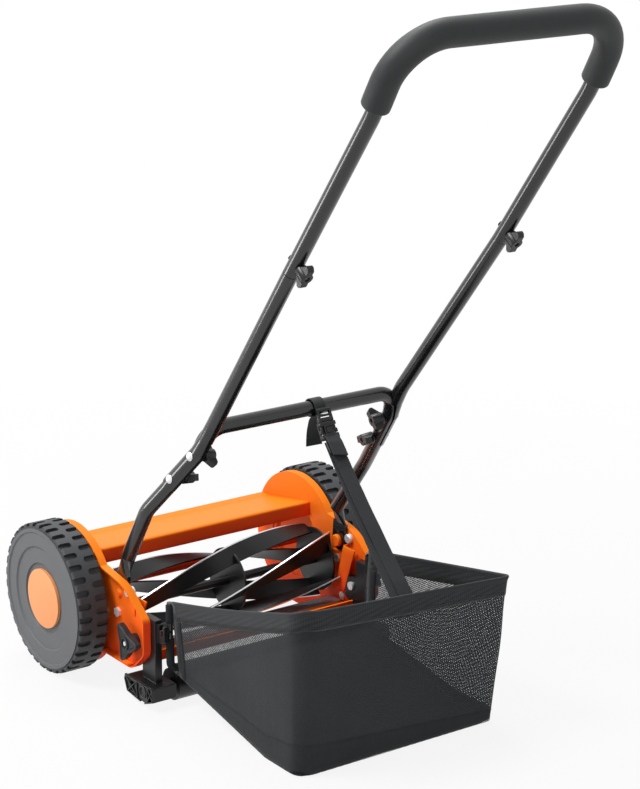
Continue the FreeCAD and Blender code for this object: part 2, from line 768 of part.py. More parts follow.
def chassis_parts():
    """Everything that stays still: plates, crossbar, axle, cutter bar and their fasteners."""
    plate = keep(free_shape("right_side_plate", side_plate()))
    keep(mirrored("left_side_plate", plate))
    width = "2 * web_half"
    nose_front = "(bar_nose_ahead + bar_sheet)"
    keep(pressed("front_crossbar", [
        ("-bar_rear_back", "bar_rear_top - bar_rear_lip"), ("-bar_rear_back", "bar_rear_top"),
        ("bar_fold_ahead", "bar_fold_top"), ("bar_nose_ahead", "bar_fold_top"),
        (nose_front, "bar_fold_top - bar_sheet"), (nose_front, "bar_fold_top - bar_nose_lip"),
        ("bar_nose_ahead", "bar_fold_top - bar_nose_lip"), ("bar_nose_ahead", "bar_fold_top - bar_sheet"),
        ("bar_fold_ahead", "bar_fold_top - bar_sheet"),
        ("-bar_rear_back + bar_sheet", "bar_rear_top - bar_rear_drop"),
        ("-bar_rear_back + bar_sheet", "bar_rear_top - bar_rear_lip")], width, "-web_half"))

    keep(cut("axle_tube", rod("axle_tube_outside", "axle_radius + axle_tube_wall", width, "-web_half"),
             rod("axle_tube_bore", BORE, width, "-web_half")))
    axle_half = f"({WHEEL_OUTER} - axle_end_depth)"
    keep(rod("wheel_axle", "axle_radius", f"2 * {axle_half}", f"-{axle_half}"))
    nut_x = f"({WHEEL_OUTER} - hub_pocket_depth + hub_gap)"
    nut = cut("right_axle_nut", hexagon("axle_nut_blank", "nut_flats", "nut_height", nut_x),
              rod("axle_nut_bore", "axle_radius + fit_clearance", "nut_height", nut_x))
    keep(group("axle_nuts", nut, mirrored("left_axle_nut", nut)))

    sleeve = "(shaft_radius + running_clearance)"
    bearing = turned("right_reel_bearing", [
        ("-bearing_flange", sleeve), ("-bearing_flange", "bearing_flange_radius"),
        ("0", "bearing_flange_radius"), ("0", "bearing_radius"),
        ("bearing_length", "bearing_radius"), ("bearing_length", sleeve)], "web_half", REEL_BACK, REEL_UP)
    keep(group("reel_bearings", bearing, mirrored("left_reel_bearing", bearing)))

    pin_start = "-(pad_gap + pad_thickness + stud_head + pad_gap)"
    head_end = "-(pad_gap + pad_thickness + pad_gap)"
    rivet_end = "(plate_sheet + bolt_head_height)"
    stud = turned("right_handle_stud", [
        (pin_start, "0"), (pin_start, "stud_head_radius - stud_bevel"),
        (f"{pin_start} + stud_bevel", "stud_head_radius"),
        (head_end, "stud_head_radius"), (head_end, "stud_radius"), ("plate_sheet", "stud_radius"),
        ("plate_sheet", "stud_head_radius - stud_rivet"), (rivet_end, "stud_radius"), (rivet_end, "0")],
        "web_half", "stud_back", "stud_up")
    keep(group("handle_studs", stud, mirrored("left_handle_stud", stud)))
    stop_head = "-(pad_gap + pad_thickness + pad_gap)"
    stop = turned("right_handle_stop", [
        (stop_head, "0"), (stop_head, "stop_radius - stop_bevel"),
        (f"{stop_head} + stop_bevel", "stop_radius"),
        ("0", "stop_radius"), ("0", "bolt_radius"), ("plate_sheet", "bolt_radius"),
        ("plate_sheet", "bolt_head_radius"), (rivet_end, "bolt_head_radius"), (rivet_end, "0")],
        "web_half", STOP_BACK, STOP_UP)
    keep(group("handle_stop_bolts", stop, mirrored("left_handle_stop", stop)))


def cutter_parts():
    """Cutter bar with its end ears, the bed knife, its screws and the bolts to the plates."""
    knee_back = f"({KNIFE_BACK} + knife_depth + cutter_sheet)"
    under = f"({SEAT_UP} - cutter_sheet)"
    seat_half = "(web_half - ear_sheet)"
    seat = pressed("cutter_seat", [
        (f"-({KNIFE_BACK} + cutter_sheet)", SEAT_UP), (f"-({KNIFE_BACK} + cutter_sheet)", under),
        (f"-{knee_back}", under), ("-ear_back", under), ("-ear_back", SEAT_UP)],
        f"2 * {seat_half}", f"-{seat_half}")
    rear_half = f"({SLAB_INNER} - cutter_side_gap)"
    rear_front = "-(ear_back - cutter_sheet)"
    rear = pressed("cutter_lip", [
        (rear_front, SEAT_UP), (rear_front, under), ("-ear_back", under),
        ("-cutter_back", "cutter_top - cutter_lip"), ("-cutter_back", "cutter_top"),
        ("-(cutter_back - cutter_sheet)", "cutter_top"),
        ("-(cutter_back - cutter_sheet)", "cutter_top - cutter_lip + cutter_sheet / 2"),
        ("-ear_back", SEAT_UP)], f"2 * {rear_half}", f"-{rear_half}")
    ear = pressed("cutter_ear", [
        ("-ear_front", under), ("-ear_front", "ear_top"), ("-ear_neck", "ear_top"),
        ("-ear_back", "ear_shoulder"), ("-ear_back", under)], "ear_sheet", seat_half)
    ear_holes = [rod(f"ear_{name}_hole", "bolt_radius + fit_clearance", "ear_sheet", seat_half, back, up)
                 for name, back, up in (("top", "ear_bolt_back", "ear_bolt_up"),
                                        ("foot", "ear_foot_bolt_back", "ear_foot_bolt_up"))]
    bored = cut("cutter_ear_bored", ear, *ear_holes)
    blank = fuse("cutter_bar_blank", seat, rear, bored, mirrored("left_cutter_ear", bored))

    knife_half = f"({seat_half} - cutter_side_gap)"
    knife = box("bed_knife_blank", f"2 * {knife_half}", "knife_depth", "knife_thickness",
                f"-{knife_half}", f"{KNIFE_BACK} + knife_depth", SEAT_UP)
    screws, screw_holes = [], []
    for k in range(round(size("knife_screw_count"))):
        x = f"({k} - (knife_screw_count - 1) / 2) * knife_screw_pitch"
        screw = doc.addObject("Part::Cylinder", f"knife_screw_{k + 1}")
        bind(screw, "Radius", "knife_screw_radius")
        bind(screw, "Height", "knife_thickness + cutter_sheet")
        place(screw, x, f"{KNIFE_BACK} + knife_depth / 2", under)
        head = doc.addObject("Part::Cylinder", f"knife_screw_head_{k + 1}")
        bind(head, "Radius", "knife_screw_radius * 2")
        bind(head, "Height", "knife_screw_head")
        place(head, x, f"{KNIFE_BACK} + knife_depth / 2", f"{under} - knife_screw_head")
        hole = doc.addObject("Part::Cylinder", f"knife_screw_hole_{k + 1}")
        bind(hole, "Radius", "knife_screw_radius + fit_clearance")
        bind(hole, "Height", "knife_thickness + cutter_sheet")
        place(hole, x, f"{KNIFE_BACK} + knife_depth / 2", under)
        screws.append(fuse(f"bed_knife_screw_{k + 1}", screw, head))
        screw_holes.append(hole)
    keep(cut("cutter_bar", blank, *screw_holes))
    keep(cut("bed_knife", knife, *screw_holes))
    keep(group("bed_knife_screws", *screws))

    bolts = []
    for name, back, up in (("top", "ear_bolt_back", "ear_bolt_up"),
                           ("foot", "ear_foot_bolt_back", "ear_foot_bolt_up")):
        head_x = f"({seat_half} - bolt_head_height)"
        head = rod(f"ear_{name}_head", "bolt_head_radius", "bolt_head_height", head_x, back, up)
        shank = rod(f"ear_{name}_shank", "bolt_radius",
                    "bolt_head_height + ear_sheet + plate_sheet + bolt_nut_height", head_x, back, up)
        nut = hexagon(f"ear_{name}_nut", "bolt_head_radius * 2", "bolt_nut_height", WEB_OUTER, back, up)
        bolt = fuse(f"right_ear_bolt_{name}", head, shank, nut)
        bolts += [bolt, mirrored(f"left_ear_bolt_{name}", bolt)]
    keep(group("cutter_bar_bolts", *bolts))


# ---------------------------------------------------------------- reel
def blade_section(x, angle):
    """Corners of one blade's cross-section at x, whose cutting corner stands at an angle."""
    centre = Vector(x, -size(REEL_BACK), size(REEL_UP))

    def polar(radius, degrees):
        turn = math.radians(degrees)
        return centre + Vector(0, radius * math.cos(turn), radius * math.sin(turn))

    edge = polar(size("reel_radius"), angle)
    root = polar(size("blade_root_radius"), angle + size("blade_lag"))
    along = (root - edge).normalize()
    inward = along.cross(X_AXIS) * size("blade_thickness")
    if (edge + inward - centre).Length > (edge - inward - centre).Length:
        inward = -inward
    return [edge, root, root + inward, edge + inward]


def twist_at(x):
    """Angle of the first blade's cutting corner at x."""
    return size("reel_phase") - size("reel_twist") * x / size("reel_length")


def blade(index):
    """One helical blade, lofted through turned cross-sections."""
    half = size("reel_length") / 2
    step = 360 / round(size("blade_count")) * index
    wires = []
    for k in range(BLADE_STEPS + 1):
        x = -half + 2 * half * k / BLADE_STEPS
        corners = blade_section(x, twist_at(x) + step)
        wires.append(Part.makePolygon(corners + corners[:1]))
    return Part.makeLoft(wires, True, False)


def reel_disc(x):
    """Disc that carries the blades in notches; x is its left face."""
    thickness = size("disc_thickness")
    centre = Vector(x, -size(REEL_BACK), size(REEL_UP))
    disc = Part.makeCylinder(size("disc_radius"), thickness, centre, X_AXIS)
    disc = disc.cut(Part.makeCylinder(size("shaft_radius + fit_clearance"), thickness, centre, X_AXIS))
    gap = size("blade_notch_gap")
    notches = []
    for index in range(round(size("blade_count"))):
        angle = twist_at(x + thickness / 2) + 360 / round(size("blade_count")) * index
        edge, root, root_in, edge_in = blade_section(x - 1, angle)
        along = (root - edge).normalize() * gap
        across = (root_in - root).normalize() * gap
        corners = [edge - along - across, root + along - across, root_in + along + across,
                   edge_in - along + across]
        notches.append(Part.Face(Part.makePolygon(corners + corners[:1])).extrude(X_AXIS * (thickness + 2)))
    return disc.cut(notches)


def reel_parts():
    """Shaft, blades, discs, pinions and the ratchet pawls inside the pinions."""
    inner_end = "(web_half + bearing_length)"
    outer_end = f"({GEAR_START} + gear_width + pawl_gap)"
    shaft = turned("reel_shaft_blank", [
        (f"-{outer_end}", "0"), (f"-{outer_end}", "shaft_end_radius"), (f"-{inner_end}", "shaft_end_radius"),
        (f"-{inner_end}", "shaft_radius"), (inner_end, "shaft_radius"), (inner_end, "shaft_end_radius"),
        (outer_end, "shaft_end_radius"), (outer_end, "0")], "0", REEL_BACK, REEL_UP)
    slot_length = "(ratchet_depth - pawl_gap)"
    slot = box("right_pawl_slot", slot_length, "pawl_thickness + 2 * fit_clearance", "2 * ratchet_radius",
               GEAR_START, f"{REEL_BACK} + pawl_thickness / 2 + fit_clearance", f"{REEL_UP} - ratchet_radius")
    keep(cut("reel_shaft", shaft, slot, mirrored("left_pawl_slot", slot)))
    pawl_reach = "(ratchet_radius - ratchet_notch - pawl_gap)"
    pawl = box("right_pawl", f"{slot_length} - fit_clearance", "pawl_thickness", f"2 * {pawl_reach}",
               GEAR_START, f"{REEL_BACK} + pawl_thickness / 2", f"{REEL_UP} - {pawl_reach}")
    keep(group("pinion_pawls", pawl, mirrored("left_pawl", pawl)))

    for index in range(round(size("blade_count"))):
        keep(free_shape(f"reel_blade_{index + 1}", blade(index)))
    half, thickness, inset = size("reel_length") / 2, size("disc_thickness"), size("disc_inset")
    for name, x in (("left", -half + inset), ("middle", size("middle_disc_offset")),
                    ("right", half - inset - thickness)):
        keep(free_shape(f"reel_disc_{name}", reel_disc(x)))

    module, teeth = size("gear_module"), round(size("pinion_teeth"))
    centre = Vector(size(GEAR_START), -size(REEL_BACK), size(REEL_UP))
    width = size("gear_width")
    corners = gear_points(teeth, module, module * (teeth / 2 + 1), module * (teeth / 2 - size("gear_dedendum")),
                          -size("gear_backlash"), PINION_FLANK_STEPS)
    pinion = gear_prism(corners, mesh_angle(), centre, width)
    notch, chamber = size("ratchet_notch"), size("ratchet_radius")
    saw = []
    pitch = 360 / size("ratchet_teeth")
    ramp = (pitch - size("ratchet_gap")) / RAMP_STEPS
    for tooth in range(round(size("ratchet_teeth"))):
        for k in range(RAMP_STEPS + 1):
            saw.append((chamber - notch * k / RAMP_STEPS, math.radians(pitch * tooth + ramp * k)))
    ratchet = gear_prism(saw, 0.0, centre, size("ratchet_depth"))
    bore = Part.makeCylinder(size("shaft_end_radius + running_clearance"), width, centre, X_AXIS)
    right = keep(free_shape("right_pinion", pinion.cut([ratchet, bore])))
    keep(mirrored("left_pinion", right))


# ---------------------------------------------------------------- handle
def dome_bolt(seat, direction, shank, reach):
    """Round-headed bolt: its head's flat side lies at seat and the shank runs along the direction."""
    radius, height = size("bolt_head_radius"), size("bolt_head_height")
    ball = (radius ** 2 + height ** 2) / (2 * height)
    half = math.asin(radius / ball) / 2
    crown, rim, foot = Vector(0, 0, -height), Vector(radius, 0, 0), Vector(shank, 0, 0)
    middle = Vector(ball * math.sin(half), 0, ball - height - ball * math.cos(half))
    corners = [rim, foot, Vector(shank, 0, reach), Vector(0, 0, reach), crown]
    edges = [Part.LineSegment(a, b).toShape() for a, b in zip(corners, corners[1:])]
    edges.append(Part.Arc(crown, middle, rim).toShape())
    bolt = Part.Face(Part.Wire(edges)).revolve(Vector(0, 0, 0), Vector(0, 0, 1), 360)
    bolt.Placement = FreeCAD.Placement(seat, FreeCAD.Rotation(Vector(0, 0, 1), direction))
    return bolt


def wing_knob(seat, direction, angle):
    """Plastic wing nut on a bolt; its collar's flat side lies at seat."""
    height, collar, span, wing = (size("knob_height"), size("knob_collar"), size("knob_span") / 2,
                                  size("knob_wing"))
    bevel = (height - collar) / 3
    radius = size("knob_hub_radius")
    side = [(-radius, collar - bevel), (radius, collar - bevel), (span, collar + bevel), (span, height - bevel),
            (span - bevel, height), (bevel - span, height), (-span, height - bevel), (-span, collar + bevel)]
    points = [Vector(x, -wing / 2, z) for x, z in side]
    knob = Part.Face(Part.makePolygon(points + points[:1])).extrude(Vector(0, wing, 0))
    knob = knob.fuse(Part.makeCylinder(radius, height)).removeSplitter()
    knob = knob.cut(Part.makeCylinder(size("bolt_radius + running_clearance"), height))
    turn = FreeCAD.Rotation(Vector(0, 0, 1), direction).multiply(FreeCAD.Rotation(Vector(0, 0, 1), angle))
    knob.Placement = FreeCAD.Placement(seat, turn)
    return knob


def leg_points(side):
    """Centreline of one leg of the lower handle from its foot to its corner."""
    return [point(f"leg_{name}_half", f"leg_{name}_back", f"leg_{name}_up", side)
            for name in ("foot", "bend", "top")] + [
                point("lower_bar_half", "lower_bar_back", "lower_bar_up", side)]


def leg_axis():
    """Direction up the straight part of the right leg."""
    foot, bend, top, corner = leg_points(1)
    return (top - bend).normalize()


def leg_outward():
    """Direction out of the right leg's side, square to the leg."""
    return (X_AXIS - leg_axis() * leg_axis().x).normalize()


def leg_joint(step):
    """Point on the right leg's axis where a joint bolt crosses it, counted down from the top."""
    top = leg_points(1)[2]
    return top - leg_axis() * (size("joint_inset") + step * size("joint_pitch"))


def lower_path():
    """Centreline of the lower handle from the right foot over the crossbar to the left foot."""
    right, left = leg_points(1), leg_points(-1)
    rounds = [size("leg_bend_round"), size("leg_top_round"), size("lower_bar_round")]
    return bent_path(right + left[::-1], rounds + rounds[::-1])


def handle_pad():
    """Solids of the right leg's flattened end, up to where the round tube starts, and its pivot hole."""
    lean = math.radians(size("pad_lean"))
    width, length, thick = size("pad_width"), size("pad_length"), size("pad_thickness")
    x = size("web_half - pad_gap") - thick
    stud = point("0", "stud_back", "stud_up") + X_AXIS * x
    up = Vector(0, -math.sin(lean), math.cos(lean))
    across = Vector(0, math.cos(lean), math.sin(lean)) * (width / 2)
    corners = [stud + across, stud + up * length + across, stud + up * length - across, stud - across]
    pad = Part.Face(Part.makePolygon(corners + corners[:1])).extrude(X_AXIS * thick)
    eye = Part.makeCylinder(width / 2, thick, stud, X_AXIS)
    foot, bend = leg_points(1)[:2]
    low = stud + up * (length - 1) + X_AXIS * (thick / 2)
    radius = size("tube_radius") / math.cos(math.pi / OVAL_SIDES) + size("fit_clearance")
    leg = (bend - foot).normalize()
    sideways = (X_AXIS - leg * leg.x).normalize()
    neck = Part.makeLoft([oval_wire(low, across, X_AXIS * (thick / 2)),
                          oval_wire(foot + leg, sideways.cross(leg) * -radius, sideways * radius)], True, True)
    hole = Part.makeCylinder(size("stud_radius + running_clearance"), thick + 2, stud - X_AXIS, X_AXIS)
    return [pad, eye, neck], hole


def side_tube():
    """Right side tube: a half-round cup on the outside of the leg, a full tube above and a spigot."""
    leg_radius, cup = size("tube_radius + cup_gap"), size("tube_radius + cup_gap + cup_wall")
    top = leg_points(1)[2]
    tail = leg_joint(1) - leg_axis() * size("cup_tail")
    bend = point("tube_bend_half", "tube_bend_back", "tube_bend_up")
    seam = point("seam_half", "seam_back", "seam_up")
    rise = (bend - top).normalize()
    radius, wall = size("tube_radius"), size("tube_wall")
    body = bar_between(tail, top, cup)
    body = body.fuse([Part.makeSphere(cup, top),
                      Part.makeCone(cup, radius, size("cup_taper"), top, rise),
                      piped(bent_path([top, bend, seam], [size("tube_bend_round")]), radius)])
    along = (point("knee_half", "knee_back", "knee_up") - seam).normalize()
    spigot_end = seam + along * size("spigot_length")
    spigot = radius - wall - size("cup_gap")
    body = body.fuse(bar_between(seam - along, spigot_end, spigot))
    outward = leg_outward()
    shed = Part.makeBox(4 * cup, 4 * cup, (top - tail).Length + cup + size("cup_taper"),
                        Vector(-2 * cup, -4 * cup, -cup))
    frame = FreeCAD.Rotation(leg_axis().cross(outward) * -1, outward, leg_axis(), "ZXY")
    shed.Placement = FreeCAD.Placement(tail, frame)
    hollow = piped(bent_path([top + rise * cup, bend, seam + along], [size("tube_bend_round")]), radius - wall)
    inside = bar_between(seam - along * cup, spigot_end + along, spigot - wall)
    return largest(body.cut([piped(lower_path(), leg_radius), shed, hollow, inside]).removeSplitter())


def top_path():
    """Centreline of the top handle from the right seam round to the left one."""
    seam, knee = point("seam_half", "seam_back", "seam_up"), point("knee_half", "knee_back", "knee_up")
    start = seam + (knee - seam).normalize() * size("seam_gap")
    right = [start, knee, point("grip_half", "grip_back", "grip_up")]
    left = [Vector(-p.x, p.y, p.z) for p in reversed(right)]
    rounds = [size("knee_round"), size("grip_bend")]
    return bent_path(right + left, rounds + rounds[::-1])


def grip_path():
    """Centreline of the foam, which starts above each knee."""
    knee, corner = (point("knee_half", "knee_back", "knee_up"), point("grip_half", "grip_back", "grip_up"))
    start = knee + (corner - knee).normalize() * size("grip_start")
    right = [start, corner]
    left = [Vector(-p.x, p.y, p.z) for p in reversed(right)]
    return bent_path(right + left, [size("grip_bend")] * 2)


def handle_parts():
    """Lower handle, side tubes, top handle, foam, joint bolts and wing knobs."""
    radius, wall = size("tube_radius"), size("tube_wall")
    bolt = size("bolt_radius")
    path = lower_path()
    seam = point("seam_half", "seam_back", "seam_up")
    along = (point("knee_half", "knee_back", "knee_up") - seam).normalize()
    seam_joint = seam + along * size("seam_bolt_rise")
    down = along.cross(X_AXIS).normalize()
    if down.z > 0:
        down = -down

    reach = size("knob_gap + thread_length")
    leg_bolts, leg_tools, knobs = [], [], {}
    inward = leg_outward() * -1
    for step, name in ((0, "high"), (1, "low")):
        joint = leg_joint(step)
        seat = joint - inward * size("tube_radius + cup_gap + cup_wall")
        inner = joint + inward * radius
        leg_bolts.append(dome_bolt(seat, inward, bolt, (seat - inner).Length + reach))
        leg_tools.append(Part.makeCylinder(bolt + size("running_clearance"), 4 * radius,
                                           seat - inward * radius, inward))
        knobs[f"leg_knob_{name}"] = wing_knob(inner + inward * size("knob_gap"), inward,
                                              size("leg_knob_turn") + size("leg_knob_step") * step)
    seam_seat = seam_joint - down * radius
    seam_bolt = dome_bolt(seam_seat, down, bolt, 2 * radius + reach)
    seam_tool = Part.makeCylinder(bolt + size("running_clearance"), 4 * radius,
                                  seam_seat - down * radius, down)
    knobs["seam_knob"] = wing_knob(seam_joint + down * size("tube_radius + knob_gap"), down,
                                   size("seam_knob_turn"))

    pad, pad_hole = handle_pad()
    lower_tools = leg_tools + [pad_hole]
    lower = piped(path, radius).fuse(pad + [other_side(piece) for piece in pad])
    lower = lower.cut([piped(path, radius - wall)] + lower_tools + [other_side(tool) for tool in lower_tools])
    keep(free_shape("lower_handle", largest(lower)))
    right_tube = keep(free_shape("right_handle_tube", side_tube().cut(leg_tools + [seam_tool])))
    keep(mirrored("left_handle_tube", right_tube))
    top = piped(top_path(), radius).cut(piped(top_path(), radius - wall))
    keep(free_shape("top_handle", top.cut([seam_tool, other_side(seam_tool)])))
    foam = piped(grip_path(), size("grip_radius")).cut(piped(grip_path(), radius + size("fit_clearance")))
    keep(free_shape("foam_grip", foam))

    for label, shapes in (("lower_joint_bolts", leg_bolts), ("upper_joint_bolts", [seam_bolt])):
        right = free_shape("right_" + label, Part.makeCompound(shapes))
        keep(group(label, right, mirrored("left_" + label, right)))
    for name, shape in knobs.items():
        right = keep(free_shape("right_" + name, shape))
        keep(mirrored("left_" + name, right))


# ---------------------------------------------------------------- roller carriage
def bracket():
    """Right roller bracket: a slab on the inside of the plate, a foot block and a hook for the catcher."""
    base = "bracket_block_top - block_overlap"
    slab = pressed("bracket_slab", [
        ("-slab_front", "slab_top"), ("-slab_front", "slab_lobe_high + slab_lobe_rise"),
        ("-slab_lobe_front", "slab_lobe_high"), ("-slab_lobe_front", "slab_lobe_low"),
        ("-slab_front", "slab_lobe_low - slab_lobe_fall"), ("-slab_front", base),
        ("-slab_back", base), ("-slab_back", "slab_top")], "slab_thickness", SLAB_INNER)
    block = pressed("bracket_block", [
        ("-bracket_block_front - block_bevel", "bracket_block_top"),
        ("-bracket_block_front", "bracket_block_top - block_drop"),
        ("-bracket_block_front - block_drop", "bracket_low + block_bevel"),
        ("-roller_back - block_overlap", "bracket_low"),
        ("-bracket_block_back", "bracket_low + block_drop"), ("-bracket_block_back", "bracket_block_top")],
        "bracket_outer_half - bracket_inner_half", "bracket_inner_half")
    hook_front = "(wire_back - wire_radius - knob_gap - hook_wall)"
    hook_rear = "(wire_back + wire_radius + knob_gap + hook_wall)"
    slot_half = "(wire_radius + knob_gap)"
    hook = pressed("bracket_hook", [
        ("-(slab_back - hook_wall)", "hook_up - hook_depth"), ("-(slab_back - hook_wall)", "hook_up"),
        (f"-{hook_front}", "hook_up + hook_lip"), (f"-{hook_rear}", "hook_up + hook_lip"),
        (f"-{hook_rear}", "hook_up - hook_depth / 2"), ("-wire_back", "hook_up - hook_depth")],
        "hook_arm_width", SLAB_INNER)
    boss_reach = "(bracket_inner_half - roller_half - roller_side_gap)"
    boss = rod("bracket_boss", "boss_radius", f"{boss_reach} + 1",
               "roller_half + roller_side_gap", "roller_back", "roller_radius")
    ring = rod("bracket_ring", "boss_radius", "rib_height + 1", "bracket_outer_half - 1", "roller_back",
               "roller_radius")
    solid = fuse("bracket_solid", slab, block, hook, boss, ring)
    rod_hole = rod("bracket_rod_hole", "rod_radius + fit_clearance",
                   "rod_half + pawl_gap - roller_half", "roller_half", "roller_back", "roller_radius")
    dimple = rod("bracket_dimple", "boss_radius - boss_ring", "rib_height + 2", "bracket_outer_half",
                 "roller_back", "roller_radius")
    bolt_hole = rod("bracket_bolt_hole", "bolt_radius + fit_clearance", "slab_thickness + 2",
                    f"{SLAB_INNER} - 1", "height_bolt_back", "height_bolt_up")
    slot_round = rod("hook_slot_round", slot_half, "hook_arm_width + 2", f"{SLAB_INNER} - 1", "wire_back",
                     "hook_up")
    slot_open = box("hook_slot_open", "hook_arm_width + 2", f"2 * {slot_half}", "hook_lip + 1",
                    f"{SLAB_INNER} - 1", f"wire_back + {slot_half}", "hook_up")
    pockets = []
    for name, back in (("front", "roller_back - boss_radius - pocket_gap"),
                       ("rear", "roller_back + boss_radius + pocket_rear_gap")):
        pockets.append(box(f"block_pocket_{name}", "pocket_depth + 1", "pocket_width", "pocket_height",
                           "bracket_outer_half - pocket_depth", back, "bracket_low + pocket_rise"))
    return cut("right_roller_bracket", solid, rod_hole, dimple, bolt_hole, slot_round, slot_open, *pockets)


def carriage_parts():
    """Roller, its rod and brackets, and the height bolts with their triangular knobs."""
    right = keep(bracket())
    keep(mirrored("left_roller_bracket", right))
    keep(rod("roller_axle", "rod_radius", "2 * rod_half", "-rod_half", "roller_back", "roller_radius"))
    keep(cut("roller", rod("roller_outside", "roller_radius", "2 * roller_half", "-roller_half",
                           "roller_back", "roller_radius"),
             rod("roller_bore", "rod_radius + running_clearance", "2 * roller_half", "-roller_half",
                 "roller_back", "roller_radius")))
    head_x = f"({SLAB_INNER} - bolt_head_height)"
    tip_x = "(height_knob_start + height_knob_thickness)"
    where = ("height_bolt_back", "height_bolt_up")
    bolt = fuse("right_height_bolt",
                rod("height_bolt_head", "bolt_head_radius", "bolt_head_height", head_x, *where),
                rod("height_bolt_shank", "bolt_radius", f"{tip_x} - 1 - {head_x}", head_x, *where))
    keep(group("height_bolts", bolt, mirrored("left_height_bolt", bolt)))

    start, thick = size("height_knob_start"), size("height_knob_thickness")
    centre = Vector(start, -size(where[0]), size(where[1]))
    reach = size("height_knob_reach")
    corners = []
    for k in range(3):
        turn = math.radians(size("height_knob_turn") + 120 * k)
        corners.append((centre.y + reach * math.cos(turn), centre.z + reach * math.sin(turn)))
    plate = prism_x(corners, start, thick)
    upright = [edge for edge in plate.Edges if abs(edge.tangentAt(edge.FirstParameter).x) > 0.99]
    plate = plate.makeFillet(size("height_knob_round"), upright)
    foot = size(f"{WEB_OUTER} + knob_gap")
    hub = Part.makeCylinder(size("knob_hub_radius"), start - foot, Vector(foot, centre.y, centre.z), X_AXIS)
    cup = Part.makeCylinder(size("knob_hub_radius"), thick / 2, centre + X_AXIS * (thick / 2), X_AXIS)
    bore = Part.makeCylinder(size("bolt_radius + running_clearance"), 4 * thick,
                             Vector(foot, centre.y, centre.z), X_AXIS)
    knob = plate.fuse(hub).removeSplitter().cut([cup, bore])
    source = keep(free_shape("right_height_knob", knob))
    keep(mirrored("left_height_knob", source))


# ---------------------------------------------------------------- grass catcher and strap
def bag_hull(inset, lift, ahead):
    """Loft between the open front and the leaning rear wall, drawn in by an inset."""
    front_y = -size("wire_back + wire_radius") + ahead
    low = [(size("bag_front_low") + inset, front_y), (size("bag_rear_low") + inset, None)]
    rear_run = size("bag_rim_back - bag_foot_back") / size("bag_rear_high - bag_rear_low")
    side_run = size("bag_half - bag_foot_half")
    wires = []
    for k, high in enumerate((size("bag_front_high"), size("bag_rear_high"))):
        bottom = low[k][0]
        top = high + lift
        base_low = size("bag_front_low") if k == 0 else size("bag_rear_low")
        corners = []
        for z, side in ((bottom, 1), (top, 1), (top, -1), (bottom, -1)):
            share = (z - base_low) / (high - base_low)
            x = size("bag_foot_half") + side_run * share - inset
            y = front_y if k == 0 else -size("bag_foot_back") - rear_run * (z - base_low) + inset
            corners.append(Vector(side * x, y, z))
        wires.append(Part.makePolygon(corners + corners[:1]))
    return Part.makeLoft(wires, True, True)


def catcher_parts():
    """Wire frame with its hook pins, and the fabric bag as a thin open box."""
    high = [point("wire_half", "wire_back", "wire_high", side) for side in (1, -1)]
    low = [point("wire_half", "wire_back", "wire_low", side) for side in (1, -1)]
    path = bent_path([high[0], low[0], low[1], high[1]], [size("wire_bend")] * 2)
    frame = piped(path, size("wire_radius"))
    pins = [bar_between(point("wire_half", "wire_back", "hook_up", side),
                        point(f"{SLAB_INNER} + hook_arm_width + 1", "wire_back", "hook_up", side),
                        size("wire_radius")) for side in (1, -1)]
    keep(free_shape("catcher_frame", frame.fuse(pins).removeSplitter()))
    inside = bag_hull(size("bag_wall"), size("bag_brim"), size("bag_mouth"))
    keep(free_shape("grass_bag", bag_hull(0, 0, 0).cut(inside)))


def strap_frame():
    """Start, direction, width and thickness directions of the strap."""
    bar = Vector(size("strap_offset"), -size("lower_bar_back"), size("lower_bar_up"))
    foot = Vector(0, size("bag_wall + strap_thickness / 2 + strap_foot_gap - bag_rim_back"),
                  size("bag_rear_high - strap_foot_drop"))
    along = Vector(0, foot.y - bar.y, foot.z - bar.z)
    reach = along.Length
    along.normalize()
    return bar, foot, along, reach


def strap_parts():
    """Loop round the lower handle's crossbar, side-release buckle, slider and the webbing to the bag."""
    bar, foot, along, reach = strap_frame()
    across = X_AXIS.cross(along).normalize()
    slant = (foot.x - bar.x) / reach
    width, thick = size("strap_width"), size("strap_thickness")

    def slab(start, end, wide, deep, shift=0.0):
        """Flat block along the strap between two distances from the crossbar."""
        rings = []
        for distance in (start, end):
            centre = bar + along * distance + X_AXIS * (slant * distance) + across * shift
            side, depth = X_AXIS * (wide / 2), across * (deep / 2)
            corners = [centre - side - depth, centre + side - depth, centre + side + depth,
                       centre - side + depth]
            rings.append(Part.makePolygon(corners + corners[:1]))
        return Part.makeLoft(rings, True, True)

    inner = size("tube_radius + strap_gap")
    left_edge = bar - X_AXIS * (width / 2)
    loop = Part.makeCylinder(inner + thick, width, left_edge, X_AXIS)
    loop = loop.fuse(slab(inner + thick / 2, size("buckle_start"), width, thick))
    loop = loop.cut(Part.makeCylinder(inner, width, left_edge, X_AXIS))
    keep(free_shape("strap_loop", loop))

    plug_end = size("buckle_start + plug_length")
    socket_end = plug_end + size("socket_length")
    wide, deep = size("buckle_width"), size("buckle_thickness")
    keep(free_shape("buckle_plug", slab(size("buckle_start"), plug_end, wide - size("plug_narrowing"),
                                     deep - size("plug_thinning"))))
    keep(free_shape("buckle_socket", slab(plug_end, socket_end, wide, deep)))
    keep(free_shape("strap_webbing", slab(socket_end, reach, width, thick)))
    slider_deep = size("slider_thickness")
    slider_start = socket_end + size("slider_gap")
    slider = slab(slider_start, slider_start + size("slider_length"), wide, slider_deep,
                  (thick + slider_deep) / 2 + size("fit_clearance"))
    keep(free_shape("strap_slider", slider))


